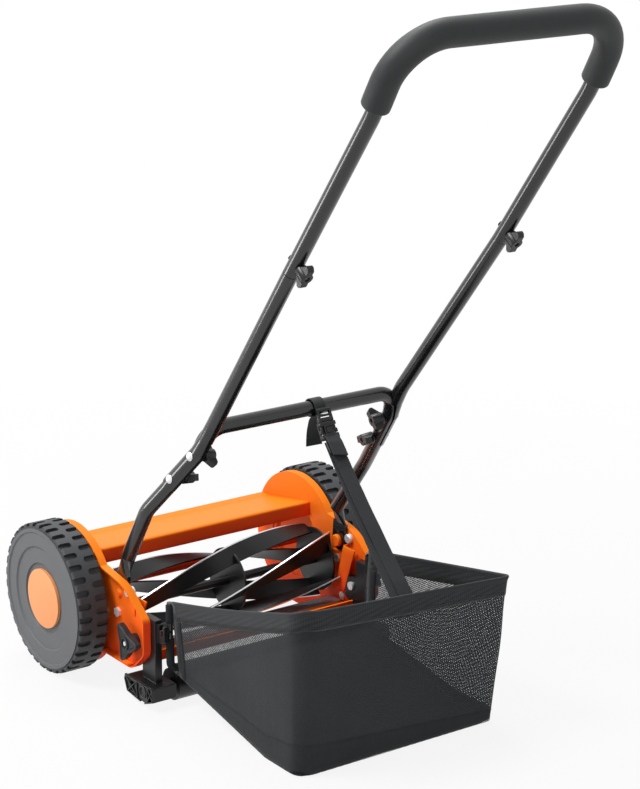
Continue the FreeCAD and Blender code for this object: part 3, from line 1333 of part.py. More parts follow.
# ---------------------------------------------------------------- build, check and export
wheel_parts()
chassis_parts()
cutter_parts()
reel_parts()
handle_parts()
carriage_parts()
catcher_parts()
strap_parts()
doc.recompute()
for thing in doc.Objects:
    if "Invalid" in thing.State or "Error" in thing.State:
        raise RuntimeError(f"{thing.Label} failed: {thing.State}")
for node in nodes:
    if node.Shape.isNull() or not node.Shape.isValid() or not node.Shape.Solids:
        raise RuntimeError(f"{node.Label} has no valid solid")
os.makedirs("parts", exist_ok=True)
for node in nodes:
    node.Shape.exportStep(f"parts/{node.Label}.step")
print(len(nodes), "nodes written")
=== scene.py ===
"""Reel mower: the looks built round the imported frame.

Metres, in the frame's own axes: +X to the operator's right, +Y the way the mower travels, +Z up. Every
sub-assembly is a class that dresses its frame nodes in real finishes and builds the pieces that the plain
solids only stand for: the pressed crossbar, the foam, the moulded knobs, the cloth grass bag and the webbing
strap with its buckle.
"""

import logging
import math
from dataclasses import dataclass, field
from enum import Enum
from typing import Callable, Iterable, Sequence

import bmesh
import bpy
from mathutils import Matrix, Vector, noise


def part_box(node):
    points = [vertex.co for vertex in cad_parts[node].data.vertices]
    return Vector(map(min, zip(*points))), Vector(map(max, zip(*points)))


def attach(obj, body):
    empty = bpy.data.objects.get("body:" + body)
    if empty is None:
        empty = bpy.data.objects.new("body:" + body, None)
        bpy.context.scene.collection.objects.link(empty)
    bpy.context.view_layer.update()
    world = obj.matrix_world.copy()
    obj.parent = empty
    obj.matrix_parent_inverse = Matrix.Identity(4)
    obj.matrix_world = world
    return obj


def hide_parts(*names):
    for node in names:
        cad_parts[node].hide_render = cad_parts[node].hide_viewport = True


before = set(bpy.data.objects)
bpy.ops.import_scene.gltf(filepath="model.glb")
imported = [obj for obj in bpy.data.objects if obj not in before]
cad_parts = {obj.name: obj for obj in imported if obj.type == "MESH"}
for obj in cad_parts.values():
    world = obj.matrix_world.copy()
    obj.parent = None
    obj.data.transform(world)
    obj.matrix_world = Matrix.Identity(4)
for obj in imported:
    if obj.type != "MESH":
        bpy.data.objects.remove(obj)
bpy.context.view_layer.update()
X_AXIS = Vector((1.0, 0.0, 0.0))
Z_AXIS = Vector((0.0, 0.0, 1.0))
WHITE = (1.0, 1.0, 1.0, 1.0)
Tree = bpy.types.NodeTree
Socket = bpy.types.NodeSocket
BMesh = bmesh.types.BMesh
log = logging.getLogger("reel_mower")


class Side(Enum):
    """Which side of the mower a piece is on, as the sign of its X."""

    LEFT = -1
    RIGHT = 1

    @property
    def word(self) -> str:
        """The side's name as the frame's nodes spell it."""
        return self.name.lower()

    def face(self, node: str, outer: bool) -> float:
        """X of a face of one of this side's nodes.

        Args:
            node: The node's name without its side.
            outer: True for the face away from the mower's middle.

        Returns:
            The face's X.
        """
        low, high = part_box(f"{self.word}_{node}")
        return high.x if outer == (self is Side.RIGHT) else low.x


class Slot(Enum):
    """The record's material slots, one named for each new piece."""

    ORANGE = "orange_paint"
    BLACK_PLASTIC = "black_plastic"
    GREY_PLASTIC = "grey_plastic"
    FOAM = "foam"
    CLOTH = "bag_cloth"
    WEBBING = "webbing"


# ---------------------------------------------------------------- shader nodes
def linear(colour: str) -> tuple[float, float, float, float]:
    """Turn an sRGB hex colour into the linear one that shaders use.

    Args:
        colour: Six hex digits after a hash.

    Returns:
        Linear red, green and blue, and an alpha of 1.
    """
    values = [int(colour[i:i + 2], 16) / 255 for i in (1, 3, 5)]
    red, green, blue = [v / 12.92 if v <= 0.04045 else ((v + 0.055) / 1.055) ** 2.4 for v in values]
    return red, green, blue, 1.0


def add_node(tree: Tree, kind: str, inputs: dict | None = None,
             **settings: object) -> bpy.types.Node:
    """Add one node with its settings, values and links.

    Args:
        tree: The tree it goes in.
        kind: The node's type name.
        inputs: Values or output sockets, by input name or number.
        **settings: The node's own properties.

    Returns:
        The new node.
    """
    node = tree.nodes.new(kind)
    for name, value in settings.items():
        setattr(node, name, value)
    for key, value in (inputs or {}).items():
        if isinstance(value, Socket):
            tree.links.new(value, node.inputs[key])
        else:
            node.inputs[key].default_value = value
    return node


def maths(tree: Tree, operation: str, *values: object) -> Socket:
    """Calculate with numbers.

    Args:
        tree: The tree it is worked out in.
        operation: The math node's operation.
        *values: Numbers or sockets.

    Returns:
        The result's socket.
    """
    return add_node(tree, "ShaderNodeMath", dict(enumerate(values)), operation=operation).outputs[0]


def vectors(tree: Tree, operation: str, *values: object) -> Socket:
    """Calculate with vectors.

    Args:
        tree: The tree it is worked out in.
        operation: The vector math node's operation.
        *values: Vectors or sockets.

    Returns:
        The result's socket: a number for a length or a dot product, and otherwise a vector.
    """
    made = add_node(tree, "ShaderNodeVectorMath", dict(enumerate(values)), operation=operation)
    return made.outputs["Value" if operation in ("LENGTH", "DOT_PRODUCT") else "Vector"]


@dataclass(frozen=True)
class Finish:
    """A surface, with the plain values that its shader starts from.

    Attributes:
        name: What the material is called.
        colour: Its sRGB hex colour.
        roughness: How dull it is.
        metallic: 1 for bare metal.
        ior: Index of refraction, where it isn't a metal.
        specular: Share of the usual mirror reflection; 0.5 leaves it as the index gives it.
        coat: Weight of a clear gloss layer.
        sheen: Weight of the soft glow of loose fibres.
        mottle: Size in metres of the slow unevenness in its colour.
        mottling: How far that unevenness goes, as a share of the colour.
        grain: Size in metres of the fine relief left by how it was made.
        relief: Depth in metres of that relief.
    """

    name: str
    colour: str
    roughness: float
    metallic: float = 0.0
    ior: float = 1.5
    specular: float = 0.5
    coat: float = 0.0
    sheen: float = 0.0
    mottle: float = 0.03
    mottling: float = 0.12
    grain: float = 0.0012
    relief: float = 0.00003

    def material(self) -> bpy.types.Material:
        """The finished material, made the first time it is asked for.

        Returns:
            The material.
        """
        made = bpy.data.materials.get(self.name)
        if made is None:
            made = bpy.data.materials.new(self.name)
            made.use_nodes = True
            tree = made.node_tree
            shader = tree.nodes["Principled BSDF"]
            plain = {"Roughness": self.roughness, "Metallic": self.metallic, "Coat Weight": self.coat,
                     "Coat Roughness": 0.12, "Sheen Weight": self.sheen, "Sheen Roughness": 0.4,
                     "Base Color": linear(self.colour), "Specular IOR Level": self.specular}
            if not self.metallic:
                plain["IOR"] = self.ior
            for key, value in plain.items():
                shader.inputs[key].default_value = value
            self.shade(tree, shader)
        return made

    def shade(self, tree: Tree, shader: bpy.types.Node) -> None:
        """Drive the shader's colour and relief from the surface's own patterns.

        Args:
            tree: The material's tree.
            shader: The material's Principled node.
        """
        place = add_node(tree, "ShaderNodeTexCoord").outputs["Object"]
        tree.links.new(self.tinted(tree, place), shader.inputs["Base Color"])
        tree.links.new(self.bumped(tree, self.grain_height(tree, place)), shader.inputs["Normal"])

    def tinted(self, tree: Tree, place: Socket) -> Socket:
        """The colour, a little lighter and darker in slow patches.

        Args:
            tree: The material's tree.
            place: The coordinates that the pattern follows.

        Returns:
            The colour's output socket.
        """
        patches = add_node(tree, "ShaderNodeTexNoise",
                           {"Vector": place, "Scale": 1 / self.mottle, "Detail": 4.0})
        low, high = [tuple(min(1.0, c * k) for c in linear(self.colour)[:3]) + (1.0,)
                     for k in (1 - self.mottling, 1 + self.mottling)]
        return blended(tree, patches.outputs["Fac"], low, high)

    def grain_height(self, tree: Tree, place: Socket) -> Socket:
        """Height of the fine relief, from 0 to 1."""
        return add_node(tree, "ShaderNodeTexNoise",
                        {"Vector": place, "Scale": 1 / self.grain, "Detail": 3.0}).outputs["Fac"]

    def bumped(self, tree: Tree, height: Socket) -> Socket:
        """The surface's normal over a relief of the finish's depth."""
        return add_node(tree, "ShaderNodeBump", {"Height": height, "Strength": 1.0,
                                                 "Distance": self.relief}).outputs["Normal"]


@dataclass(frozen=True)
class ShadePaintedPowderCoat(Finish):
    """Powder coat with painted light and shade: orange on faces turned up to the light, and redder low down
    and on faces turned away from it.

    Attributes:
        painted_shade_colour: Its sRGB hex colour, painted where the face is in shade.
        painted_light_from: Direction that the painted light comes from.
        sides: How much painted light the faces turned to the left and the right get.
        painted_shade_downwards: How fast the painted shade deepens downwards, for each metre.
        film: Sums of facing and height at which the painted light is none and full.
    """

    # Painted light and shade: values for drawing the coat redder on faces turned from the light and lower
    # down.
    painted_shade_colour: str = "#F0461C"
    painted_light_from: tuple[float, float, float] = (0.0, 0.12, 0.92)
    sides: float = 0.36
    painted_shade_downwards: float = 4.0
    film: tuple[float, float] = (0.45, 1.2)

    def tinted(self, tree: Tree, place: Socket) -> Socket:
        """The coat's colour with painted light and shade, by how far the face is turned to the light and how
        high it is.

        Args:
            tree: The material's tree.
            place: The coordinates that height and patterns follow.

        Returns:
            The colour's output socket.
        """
        facing = add_node(tree, "ShaderNodeTexCoord").outputs["Normal"]
        squares = vectors(tree, "MULTIPLY", facing, facing)
        total = vectors(tree, "DOT_PRODUCT", facing, self.painted_light_from)
        for share in (vectors(tree, "DOT_PRODUCT", squares, X_AXIS * self.sides),
                      vectors(tree, "DOT_PRODUCT", place, Z_AXIS * self.painted_shade_downwards)):
            total = maths(tree, "ADD", total, share)
        # Painted light and shade: faces turned to the light and high up keep the orange, the rest take the
        # redder shade colour.
        film = add_node(tree, "ShaderNodeMapRange", {"Value": total, "From Min": self.film[0],
                                                     "From Max": self.film[1]})
        return blended(tree, film.outputs["Result"], linear(self.painted_shade_colour), super().tinted(tree, place))


@dataclass(frozen=True)
class WornEdgeBlade(Finish):
    """Enamelled spring-steel strip whose cutting edge is ground bright.

    Attributes:
        centre: Point on the reel's axis that the edge's radius is counted from.
        edge_radius: Radius beyond which the steel is bare.
        bare: Colour of the bare steel.
    """

    centre: tuple[float, float, float] = (0.0, 0.0, 0.0)
    edge_radius: float = 0.0547
    bare: str = "#E4E6E8"

    def shade(self, tree: Tree, shader: bpy.types.Node) -> None:
        """Bare, shiny steel beyond the edge radius and enamel inside it.

        Args:
            tree: The material's tree.
            shader: The material's Principled node.
        """
        place = add_node(tree, "ShaderNodeTexCoord").outputs["Object"]
        flat = vectors(tree, "MULTIPLY", vectors(tree, "SUBTRACT", place, self.centre), (0.0, 1.0, 1.0))
        edge = maths(tree, "GREATER_THAN", vectors(tree, "LENGTH", flat), self.edge_radius)
        paint = self.tinted(tree, place)
        tree.links.new(blended(tree, edge, paint, linear(self.bare)), shader.inputs["Base Color"])
        tree.links.new(edge, shader.inputs["Metallic"])
        tree.links.new(self.bumped(tree, self.grain_height(tree, place)), shader.inputs["Normal"])


@dataclass(frozen=True)
class WovenCloth(Finish):
    """Cloth whose threads follow the piece's own UV map, which is laid out in metres.

    Attributes:
        pitch: Distance between neighbouring threads, in metres.
        painted_gap_shade: Share of the colour left between the threads, as painted shade.
        stray: How far the threads wander, in pitches.
        bias: Turn of the threads across the piece, in degrees.
    """

    pitch: float = 0.002
    painted_gap_shade: float = 0.45
    stray: float = 0.25
    bias: float = 0.0

    def laid(self, tree: Tree) -> Socket:
        """The piece's UV map, turned to run with the threads.

        Args:
            tree: The material's tree.

        Returns:
            The coordinates' output socket.
        """
        place = add_node(tree, "ShaderNodeTexCoord").outputs["UV"]
        return add_node(tree, "ShaderNodeVectorRotate", {"Vector": place, "Angle": math.radians(self.bias)},
                        rotation_type="Z_AXIS").outputs[0]

    def waves(self, tree: Tree) -> tuple[Socket, Socket]:
        """Waves from -1 to 1 across and along the cloth, one to each pair of threads.

        Args:
            tree: The material's tree.

        Returns:
            Both waves' output sockets.
        """
        place, turns = self.laid(tree), math.pi / self.pitch
        stray = add_node(tree, "ShaderNodeTexNoise",
                         {"Vector": place, "Scale": 0.25 / self.pitch, "Detail": 2.0})
        wander = vectors(tree, "MULTIPLY", stray.outputs["Color"], (self.pitch * self.stray,) * 3)
        scaled = vectors(tree, "MULTIPLY", vectors(tree, "ADD", place, wander), (turns, turns, 0.0))
        parts = add_node(tree, "ShaderNodeSeparateXYZ", {0: scaled})
        across, along = [maths(tree, "SINE", parts.outputs[k]) for k in (0, 1)]
        return across, along

    def weave(self, tree: Tree) -> Socket:
        """Height of a plain weave, from 0 between the threads to 1 on top of them."""
        across, along = self.waves(tree)
        return maths(tree, "MULTIPLY_ADD", maths(tree, "MULTIPLY", across, along), 0.5, 0.5)

    def shade(self, tree: Tree, shader: bpy.types.Node) -> None:
        """Thread tops in the cloth's colour and painted shade in the gaps between them.

        Args:
            tree: The material's tree.
            shader: The material's Principled node.
        """
        place = add_node(tree, "ShaderNodeTexCoord").outputs["Object"]
        height = self.weave(tree)
        # Painted shade: the gaps between the threads take a darker copy of the colour.
        gap = tuple(c * self.painted_gap_shade for c in linear(self.colour)[:3]) + (1.0,)
        tree.links.new(blended(tree, height, gap, self.tinted(tree, place)), shader.inputs["Base Color"])
        tree.links.new(self.bumped(tree, height), shader.inputs["Normal"])


@dataclass(frozen=True)
class MeshCloth(WovenCloth):
    """Open polyester mesh: threads with a round hole between every four of them.

    Attributes:
        opening: How large the holes are, from 0 to 1.
        uneven: How far their size varies from hole to hole.
    """

    opening: float = 0.3
    uneven: float = 0.45

    def shade(self, tree: Tree, shader: bpy.types.Node) -> None:
        """Threads as in woven cloth, and nothing at all in the holes.

        Args:
            tree: The material's tree.
            shader: The material's Principled node.
        """
        super().shade(tree, shader)
        across, along = self.waves(tree)
        middle = maths(tree, "MULTIPLY", *[maths(tree, "MULTIPLY", wave, wave) for wave in (across, along)])
        cell = vectors(tree, "SNAP", self.laid(tree), (self.pitch,) * 3)
        chance = add_node(tree, "ShaderNodeTexWhiteNoise", {"Vector": cell}).outputs["Value"]
        least = 1 - self.opening * (1 + self.uneven / 2)
        limit = maths(tree, "MULTIPLY_ADD", chance, self.opening * self.uneven, least)
        tree.links.new(maths(tree, "LESS_THAN", middle, limit), shader.inputs["Alpha"])


@dataclass(frozen=True)
class RibbedWebbing(WovenCloth):
    """Heavy nylon tape with ribs across it."""

    def weave(self, tree: Tree) -> Socket:
        """Height of the ribs across the tape, broken by its lengthwise threads.

        Args:
            tree: The material's tree.

        Returns:
            The height's output socket, from 0 to 1.
        """
        across, along = self.waves(tree)
        rib, thread = maths(tree, "MULTIPLY", along, along), maths(tree, "MULTIPLY_ADD", across, 0.2, 0.8)
        return maths(tree, "MULTIPLY", rib, thread)


def blended(tree: Tree, factor: Socket, low: object, high: object) -> Socket:
    """Mix two colours.

    Args:
        tree: The tree they are mixed in.
        factor: Share of the second colour.
        low: The first colour, as a socket or a value.
        high: The second one.

    Returns:
        The mixed colour's output socket.
    """
    return add_node(tree, "ShaderNodeMix", {0: factor, 6: low, 7: high}, data_type="RGBA").outputs[2]


REEL_AXIS = (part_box("reel_shaft")[0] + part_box("reel_shaft")[1]) / 2

# Powder coat on pressed steel: a hard even gloss with a faint orange-peel ripple, and painted shade that
# makes it redder low down and on faces turned from the light.
ORANGE_PAINT = ShadePaintedPowderCoat("orange_powder_coat", "#F07A18", 0.45, specular=0.09, mottle=0.05, mottling=0.04,
                          grain=0.0022, relief=0.000025)
# Gloss powder coat on drawn tube: near-black with long clear highlights.
BLACK_TUBE = Finish("black_powder_coat", "#121315", 0.24, specular=0.45, coat=0.3, mottling=0.08,
                    grain=0.0018, relief=0.00002)
# Dipped enamel on the blades, ground bright along the cutting edge.
BLADE = WornEdgeBlade("blade_enamel", "#0F1011", 0.34, specular=0.3, mottling=0.2, grain=0.004,
                      relief=0.00005, centre=tuple(REEL_AXIS))
# Black enamel on the reel's discs and shaft.
REEL_ENAMEL = Finish("reel_enamel", "#121314", 0.32, specular=0.35, mottling=0.3, grain=0.003, relief=0.00008)
# Dull zinc plate on bolts and nuts: as much a white bloom as a mirror.
ZINC = Finish("zinc_plate", "#E4E5E6", 0.38, metallic=0.6, mottling=0.06, grain=0.0008, relief=0.00001)
# Surface-ground tool steel.
GROUND_STEEL = Finish("ground_steel", "#B9BBBD", 0.32, metallic=1.0, mottling=0.1, grain=0.0006,
                      relief=0.00001)
# Moulded tread rubber: dull charcoal.
TYRE_RUBBER = Finish("tyre_rubber", "#38393B", 0.55, specular=0.3, mottle=0.02, mottling=0.16, grain=0.0009,
                     relief=0.00006)
# Spark-eroded grey polypropylene of the wheel's face.
WHEEL_PLASTIC = Finish("wheel_polypropylene", "#58595B", 0.55, specular=0.35, mottle=0.04, mottling=0.05,
                       grain=0.0010, relief=0.00007)
# Satin orange cap.
CAP_PLASTIC = Finish("cap_plastic", "#E2935C", 0.46, specular=0.35, mottle=0.04, mottling=0.03, grain=0.0010,
                     relief=0.00003)
# Glass-filled nylon of brackets, knobs and buckle: black with a fine moulded grain.
BLACK_NYLON = Finish("black_nylon", "#141516", 0.34, specular=0.36, mottling=0.12, grain=0.0009,
                     relief=0.00005)
# The same nylon, pigmented grey, for the height knobs.
GREY_NYLON = Finish("grey_nylon", "#252628", 0.5, specular=0.3, mottling=0.08, grain=0.0009, relief=0.00005)
# Porous oil-filled bearing metal.
BRONZE = Finish("sintered_bronze", "#B08A4E", 0.45, metallic=1.0, grain=0.0005, relief=0.00003)
# Closed-cell rubber foam: matt, with small cut cells.
FOAM = Finish("cell_foam", "#222425", 0.58, specular=0.38, sheen=0.12, mottle=0.012, mottling=0.2,
              grain=0.0016, relief=0.00022)
# Coated cloth of the bag's floor and sleeves.
BAG_CLOTH = WovenCloth("coated_polyester", "#26282A", 0.78, specular=0.12, sheen=0.03, mottling=0.1,
                       relief=0.00008, pitch=0.0018, painted_gap_shade=0.6)
# Mesh of the bag's walls; the real holes are 0.7 mm, drawn on a wider pitch so that they show.
BAG_MESH = MeshCloth("polyester_mesh", "#303336", 0.7, specular=0.3, sheen=0.12, mottling=0.1, relief=0.00012,
                     pitch=0.0023, painted_gap_shade=0.15, bias=38.0, opening=0.53)
# The same mesh folded double, so that its holes are partly covered.
BAG_HEM = MeshCloth("folded_polyester_mesh", "#313436", 0.72, specular=0.3, sheen=0.16, mottling=0.14,
                    relief=0.00012, pitch=0.0023, painted_gap_shade=0.2, bias=38.0, opening=0.14)
# Bonded nylon sewing thread.
THREAD = Finish("nylon_thread", "#1A1B1C", 0.6, specular=0.3, grain=0.0004, relief=0.00002)
# Woven nylon strap.
WEBBING = RibbedWebbing("nylon_webbing", "#26282A", 0.66, specular=0.3, sheen=0.06, mottling=0.1,
                        relief=0.00012, pitch=0.0018, painted_gap_shade=0.45)


def dress(finish: Finish, nodes: Iterable[str]) -> None:
    """Give frame nodes a finish.

    Args:
        finish: The surface.
        nodes: Names of the nodes that wear it.
    """
    for name in nodes:
        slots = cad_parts[name].data.materials
        slots.clear()
        slots.append(finish.material())


def softened(nodes: Iterable[str], width: float) -> None:
    """Round the sharp edges of frame nodes by a little.

    Args:
        nodes: Names of the nodes.
        width: How far back from the edge the rounding starts.
    """
    for name in nodes:
        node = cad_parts[name]
        node.modifiers.new("joined", "WELD").merge_threshold = 1e-5
        plain = node.modifiers.new("plain_faces", "DECIMATE")
        plain.decimate_type, plain.angle_limit = "DISSOLVE", math.radians(0.5)
        edge = node.modifiers.new("soft_edge", "BEVEL")
        edge.width, edge.segments, edge.limit_method, edge.angle_limit = width, 2, "ANGLE", math.radians(35.0)
        edge.use_clamp_overlap = False


def both(*names: str) -> list[str]:
    """Each name with left_ and with right_ in front."""
    return [f"{side.word}_{name}" for side in Side for name in names]


@dataclass
class Studio:
    """Pale floor, soft lamps, a white surround and the camera behind the mower's left shoulder.

    Attributes:
        lens: Focal length in millimetres.
        place: Where the camera stands.
        ahead: Direction the camera looks.
        roll: Its tilt about that direction, in degrees.
        sky: Strength of the even light from all round.
        glow: How white the floor is seen under the mower and far from it.
        reach: Distances from the mower's middle between which that whiteness rises.
    """

    lens: float = 111.87
    place: Vector = field(default_factory=lambda: Vector((-1.7501, -2.46795, 1.3284)))
    ahead: Vector = field(default_factory=lambda: Vector((0.5567, 0.7803, -0.2851)))
    roll: float = 0.176
    sky: float = 0.34
    glow: tuple[float, float] = (0.88, 1.0)
    reach: tuple[float, float] = (0.5, 1.6)

    def build(self) -> None:
        """Put up the whole studio."""
        self.camera()
        self.floor()
        self.surround()
        self.lamp("key_lamp", Vector((-1.9, 0.7, 3.0)), (1.2, 1.2), 105.0)
        self.lamp("top_lamp", Vector((0.5, 1.5, 3.2)), (1.5, 1.5), 70.0)
        self.lamp("fill_lamp", Vector((-1.4, -3.2, 1.1)), (1.6, 1.6), 17.0)
        self.lamp("low_strip", Vector((-1.2, 0.95, 0.12)), (0.9, 0.3), 9.0, Vector((-0.8, 0.6, 0.0)))
        bpy.context.scene.view_settings.view_transform = "Standard"

    def camera(self) -> None:
        """The camera, level apart from its small roll."""
        data = bpy.data.cameras.new("camera")
        data.lens = self.lens
        data.clip_start, data.clip_end = 0.05, 50.0
        eye = bpy.data.objects.new("camera", data)
        eye.location = self.place
        turn = self.ahead.to_track_quat("-Z", "Y").to_matrix()
        eye.rotation_euler = (turn @ Matrix.Rotation(math.radians(self.roll), 3, "Z")).to_euler()
        bpy.context.scene.collection.objects.link(eye)
        bpy.context.scene.camera = eye

    def floor(self) -> None:
        """A wide pale floor that shows near white and keeps the mower's shadow."""
        bm = bmesh.new()
        bmesh.ops.create_grid(bm, x_segments=1, y_segments=1, size=12.0)
        mesh = bpy.data.meshes.new("studio_floor")
        bm.to_mesh(mesh)
        bm.free()
        ground = bpy.data.objects.new("studio_floor", mesh)
        bpy.context.scene.collection.objects.link(ground)
        paint = bpy.data.materials.new("studio_floor")
        paint.use_nodes = True
        tree = paint.node_tree
        tree.nodes.clear()
        matt = add_node(tree, "ShaderNodeBsdfDiffuse", {"Color": linear("#C4C4C4")})
        glow = add_node(tree, "ShaderNodeEmission", {"Color": WHITE, "Strength": 1.0})
        place = add_node(tree, "ShaderNodeTexCoord").outputs["Object"]
        share = add_node(tree, "ShaderNodeMapRange", {
            "Value": vectors(tree, "LENGTH", place), "From Min": self.reach[0], "From Max": self.reach[1],
            "To Min": self.glow[0], "To Max": self.glow[1]}).outputs["Result"]
        seen = maths(tree, "MULTIPLY", share, self.seen(tree))
        mix = add_node(tree, "ShaderNodeMixShader", {0: seen, 1: matt.outputs[0], 2: glow.outputs[0]})
        add_node(tree, "ShaderNodeOutputMaterial", {"Surface": mix.outputs[0]})
        mesh.materials.append(paint)

    def seen(self, tree: Tree) -> Socket:
        """1 for what the camera sees, directly or mirrored in gloss, and 0 for light that falls on things.

        Args:
            tree: The tree it is worked out in.

        Returns:
            That number's output socket.
        """
        rays = add_node(tree, "ShaderNodeLightPath").outputs
        shown = maths(tree, "MAXIMUM", rays["Is Camera Ray"], rays["Is Glossy Ray"])
        return maths(tree, "MAXIMUM", shown, rays["Is Transmission Ray"])

    def surround(self) -> None:
        """World that lights gently and is seen as white."""
        world = bpy.data.worlds.new("studio")
        world.use_nodes = True
        tree = world.node_tree
        tree.nodes.clear()
        light, shown = [add_node(tree, "ShaderNodeBackground", {"Color": WHITE, "Strength": strength})
                        for strength in (self.sky, 1.0)]
        mix = add_node(tree, "ShaderNodeMixShader",
                       {0: self.seen(tree), 1: light.outputs[0], 2: shown.outputs[0]})
        add_node(tree, "ShaderNodeOutputWorld", {"Surface": mix.outputs[0]})
        bpy.context.scene.world = world

    def lamp(self, name: str, place: Vector, size: tuple[float, float], power: float,
             along: Vector = X_AXIS) -> None:
        """A soft lamp aimed at the mower's middle.

        Args:
            name: What it is called.
            place: Where it hangs.
            size: Its length and width, in metres.
            power: Its power, in watts.
            along: Direction that its length runs in.
        """
        data = bpy.data.lights.new(name, "AREA")
        data.shape, data.size, data.size_y, data.energy = "RECTANGLE", *size, power
        lamp = bpy.data.objects.new(name, data)
        lamp.location = place
        back = (place - Vector((0.0, 0.0, 0.4))).normalized()
        length = (along - back * along.dot(back)).normalized()
        lamp.rotation_euler = Matrix((length, back.cross(length), back)).transposed().to_euler()
        lamp.visible_camera = False
        bpy.context.scene.collection.objects.link(lamp)


# ---------------------------------------------------------------- mesh making
Line = list[Vector]
Laid = tuple[Vector, tuple[float, float]]
ARC_STEPS = 8


def verts_of(geometry: Iterable[object]) -> list[bmesh.types.BMVert]:
    """The vertices among an operator's results."""
    return [item for item in geometry if isinstance(item, bmesh.types.BMVert)]


def open_edges(geometry: Iterable[object]) -> list[bmesh.types.BMEdge]:
    """The boundary edges among an operator's results."""
    return [item for item in geometry if isinstance(item, bmesh.types.BMEdge) and item.is_boundary]


def edges_of(verts: Iterable[bmesh.types.BMVert]) -> list[bmesh.types.BMEdge]:
    """The edges that meet any of these vertices."""
    return list({edge for vert in verts for edge in vert.link_edges})


def placed(axes: Sequence[Vector], middle: Vector) -> Matrix:
    """Matrix that lays a shape's own axes along three directions, with its middle at a point."""
    return Matrix.Translation(middle) @ Matrix(axes).transposed().to_4x4()


def tube(bm: BMesh, segments: int, steps: Sequence[Matrix]) -> None:
    """Draw a ring of unit radius through a run of places.

    Args:
        bm: The mesh it is added to.
        segments: How many sides the ring has.
        steps: The places, each scaled by the tube's radius there.
    """
    ring = bmesh.ops.create_circle(bm, segments=segments, radius=1.0)["verts"]
    edges = edges_of(ring)
    bmesh.ops.transform(bm, matrix=steps[0], verts=ring)
    for before, step in zip(steps, steps[1:]):
        grown = bmesh.ops.extrude_edge_only(bm, edges=edges)["geom"]
        bmesh.ops.transform(bm, matrix=step @ before.inverted(), verts=verts_of(grown))
        edges = open_edges(grown)


def path_frames(points: Line) -> list[Matrix]:
    """Frames that follow a line without twisting, with Z along it.

    Args:
        points: The line's points.

    Returns:
        One matrix for each point.
    """
    frames = []
    turn = (points[1] - points[0]).to_track_quat("Z", "Y")
    for k, place in enumerate(points):
        ahead = (points[min(k + 1, len(points) - 1)] - points[max(k - 1, 0)]).normalized()
        turn = (turn @ Z_AXIS).rotation_difference(ahead) @ turn
        frames.append(Matrix.Translation(place) @ turn.to_matrix().to_4x4())
    return frames


def rounded_line(corners: Line, radii: Sequence[float], steps: int = ARC_STEPS) -> Line:
    """Points along straight runs joined by arcs.

    Args:
        corners: Both ends and the corners between them.
        radii: One for each corner between the ends.
        steps: Segments in each arc.

    Returns:
        The line's points.
    """
    points = [corners[0]]
    for before, corner, after, radius in zip(corners, corners[1:], corners[2:], radii):
        back, on = (before - corner).normalized(), (after - corner).normalized()
        half = back.angle(on) / 2
        middle = corner + (back + on).normalized() * (radius / math.sin(half))
        start = corner + back * (radius / math.tan(half)) - middle
        axis = back.cross(on).normalized()
        points += [middle + Matrix.Rotation(-(math.pi - 2 * half) * k / steps, 3, axis) @ start
                   for k in range(steps + 1)]
    return points + [corners[-1]]


def divided(points: Line, cells: dict[int, int]) -> Line:
    """Cut the long runs of a line into equal cells.

    Args:
        points: The line's points.
        cells: How many cells a run gets, by its number.

    Returns:
        The line with the new points.
    """
    line = []
    for k, (start, end) in enumerate(zip(points, points[1:])):
        count = cells.get(k, 1)
        line += [start.lerp(end, j / count) for j in range(count)]
    return line + [points[-1]]


def lengths_along(points: Line) -> list[float]:
    """How far along a line each of its points lies.

    Args:
        points: The line's points.

    Returns:
        One length for each point.
    """
    sums = [0.0]
    for start, end in zip(points, points[1:]):
        sums.append(sums[-1] + (end - start).length)
    return sums


def between(knots: Sequence[tuple[float, float]], place: float) -> float:
    """Value at a place, in straight lines between knots of place and value.

    Args:
        knots: Places and the values there, in order.
        place: Where the value is wanted.

    Returns:
        The value.
    """
    for (start, low), (end, high) in zip(knots, knots[1:]):
        if place <= end:
            return low + (high - low) * max(0.0, place - start) / (end - start)
    return knots[-1][1]


def laid_grid(bm: BMesh, cells: tuple[int, int], surface: Callable[[int, int], Laid]) -> None:
    """Lay a grid on a surface, with its UV map in metres.

    Args:
        bm: The mesh it is added to.
        cells: How many cells it has across and along.
        surface: Gives the place and the UV of the point at a count across and along.
    """
    layer = bm.loops.layers.uv.verify()
    grid = bmesh.ops.create_grid(bm, x_segments=cells[0], y_segments=cells[1], size=0.5)["verts"]
    laid = {v: surface(round((v.co.x + 0.5) * cells[0]), round((v.co.y + 0.5) * cells[1])) for v in grid}
    for vert, (place, _) in laid.items():
        vert.co = place
    for face in {f for v in grid for f in v.link_faces}:
        for loop in face.loops:
            loop[layer].uv = laid[loop.vert][1]


def ribbon(bm: BMesh, line: Line, sides: tuple[Vector, Vector], widths: tuple[float, float],
           cells: int = 6) -> None:
    """Flat band along a line, with its UV map in metres.

    Args:
        bm: The mesh it is added to.
        line: Middle of the band.
        sides: Directions across it, at the line's start and end.
        widths: Its width at the line's start and end.
        cells: Cells across it.
    """
    sums = lengths_along(line)

    def surface(across: int, along: int) -> Laid:
        """One point of the band.

        Args:
            across: The point's count across the grid.
            along: Its count along the grid.

        Returns:
            The point and its UV.
        """
        share = sums[along] / sums[-1]
        off = (across / cells - 0.5) * (widths[0] + (widths[1] - widths[0]) * share)
        return line[along] + sides[0].slerp(sides[1], share) * off, (off, sums[along])

    laid_grid(bm, (cells, len(line) - 1), surface)


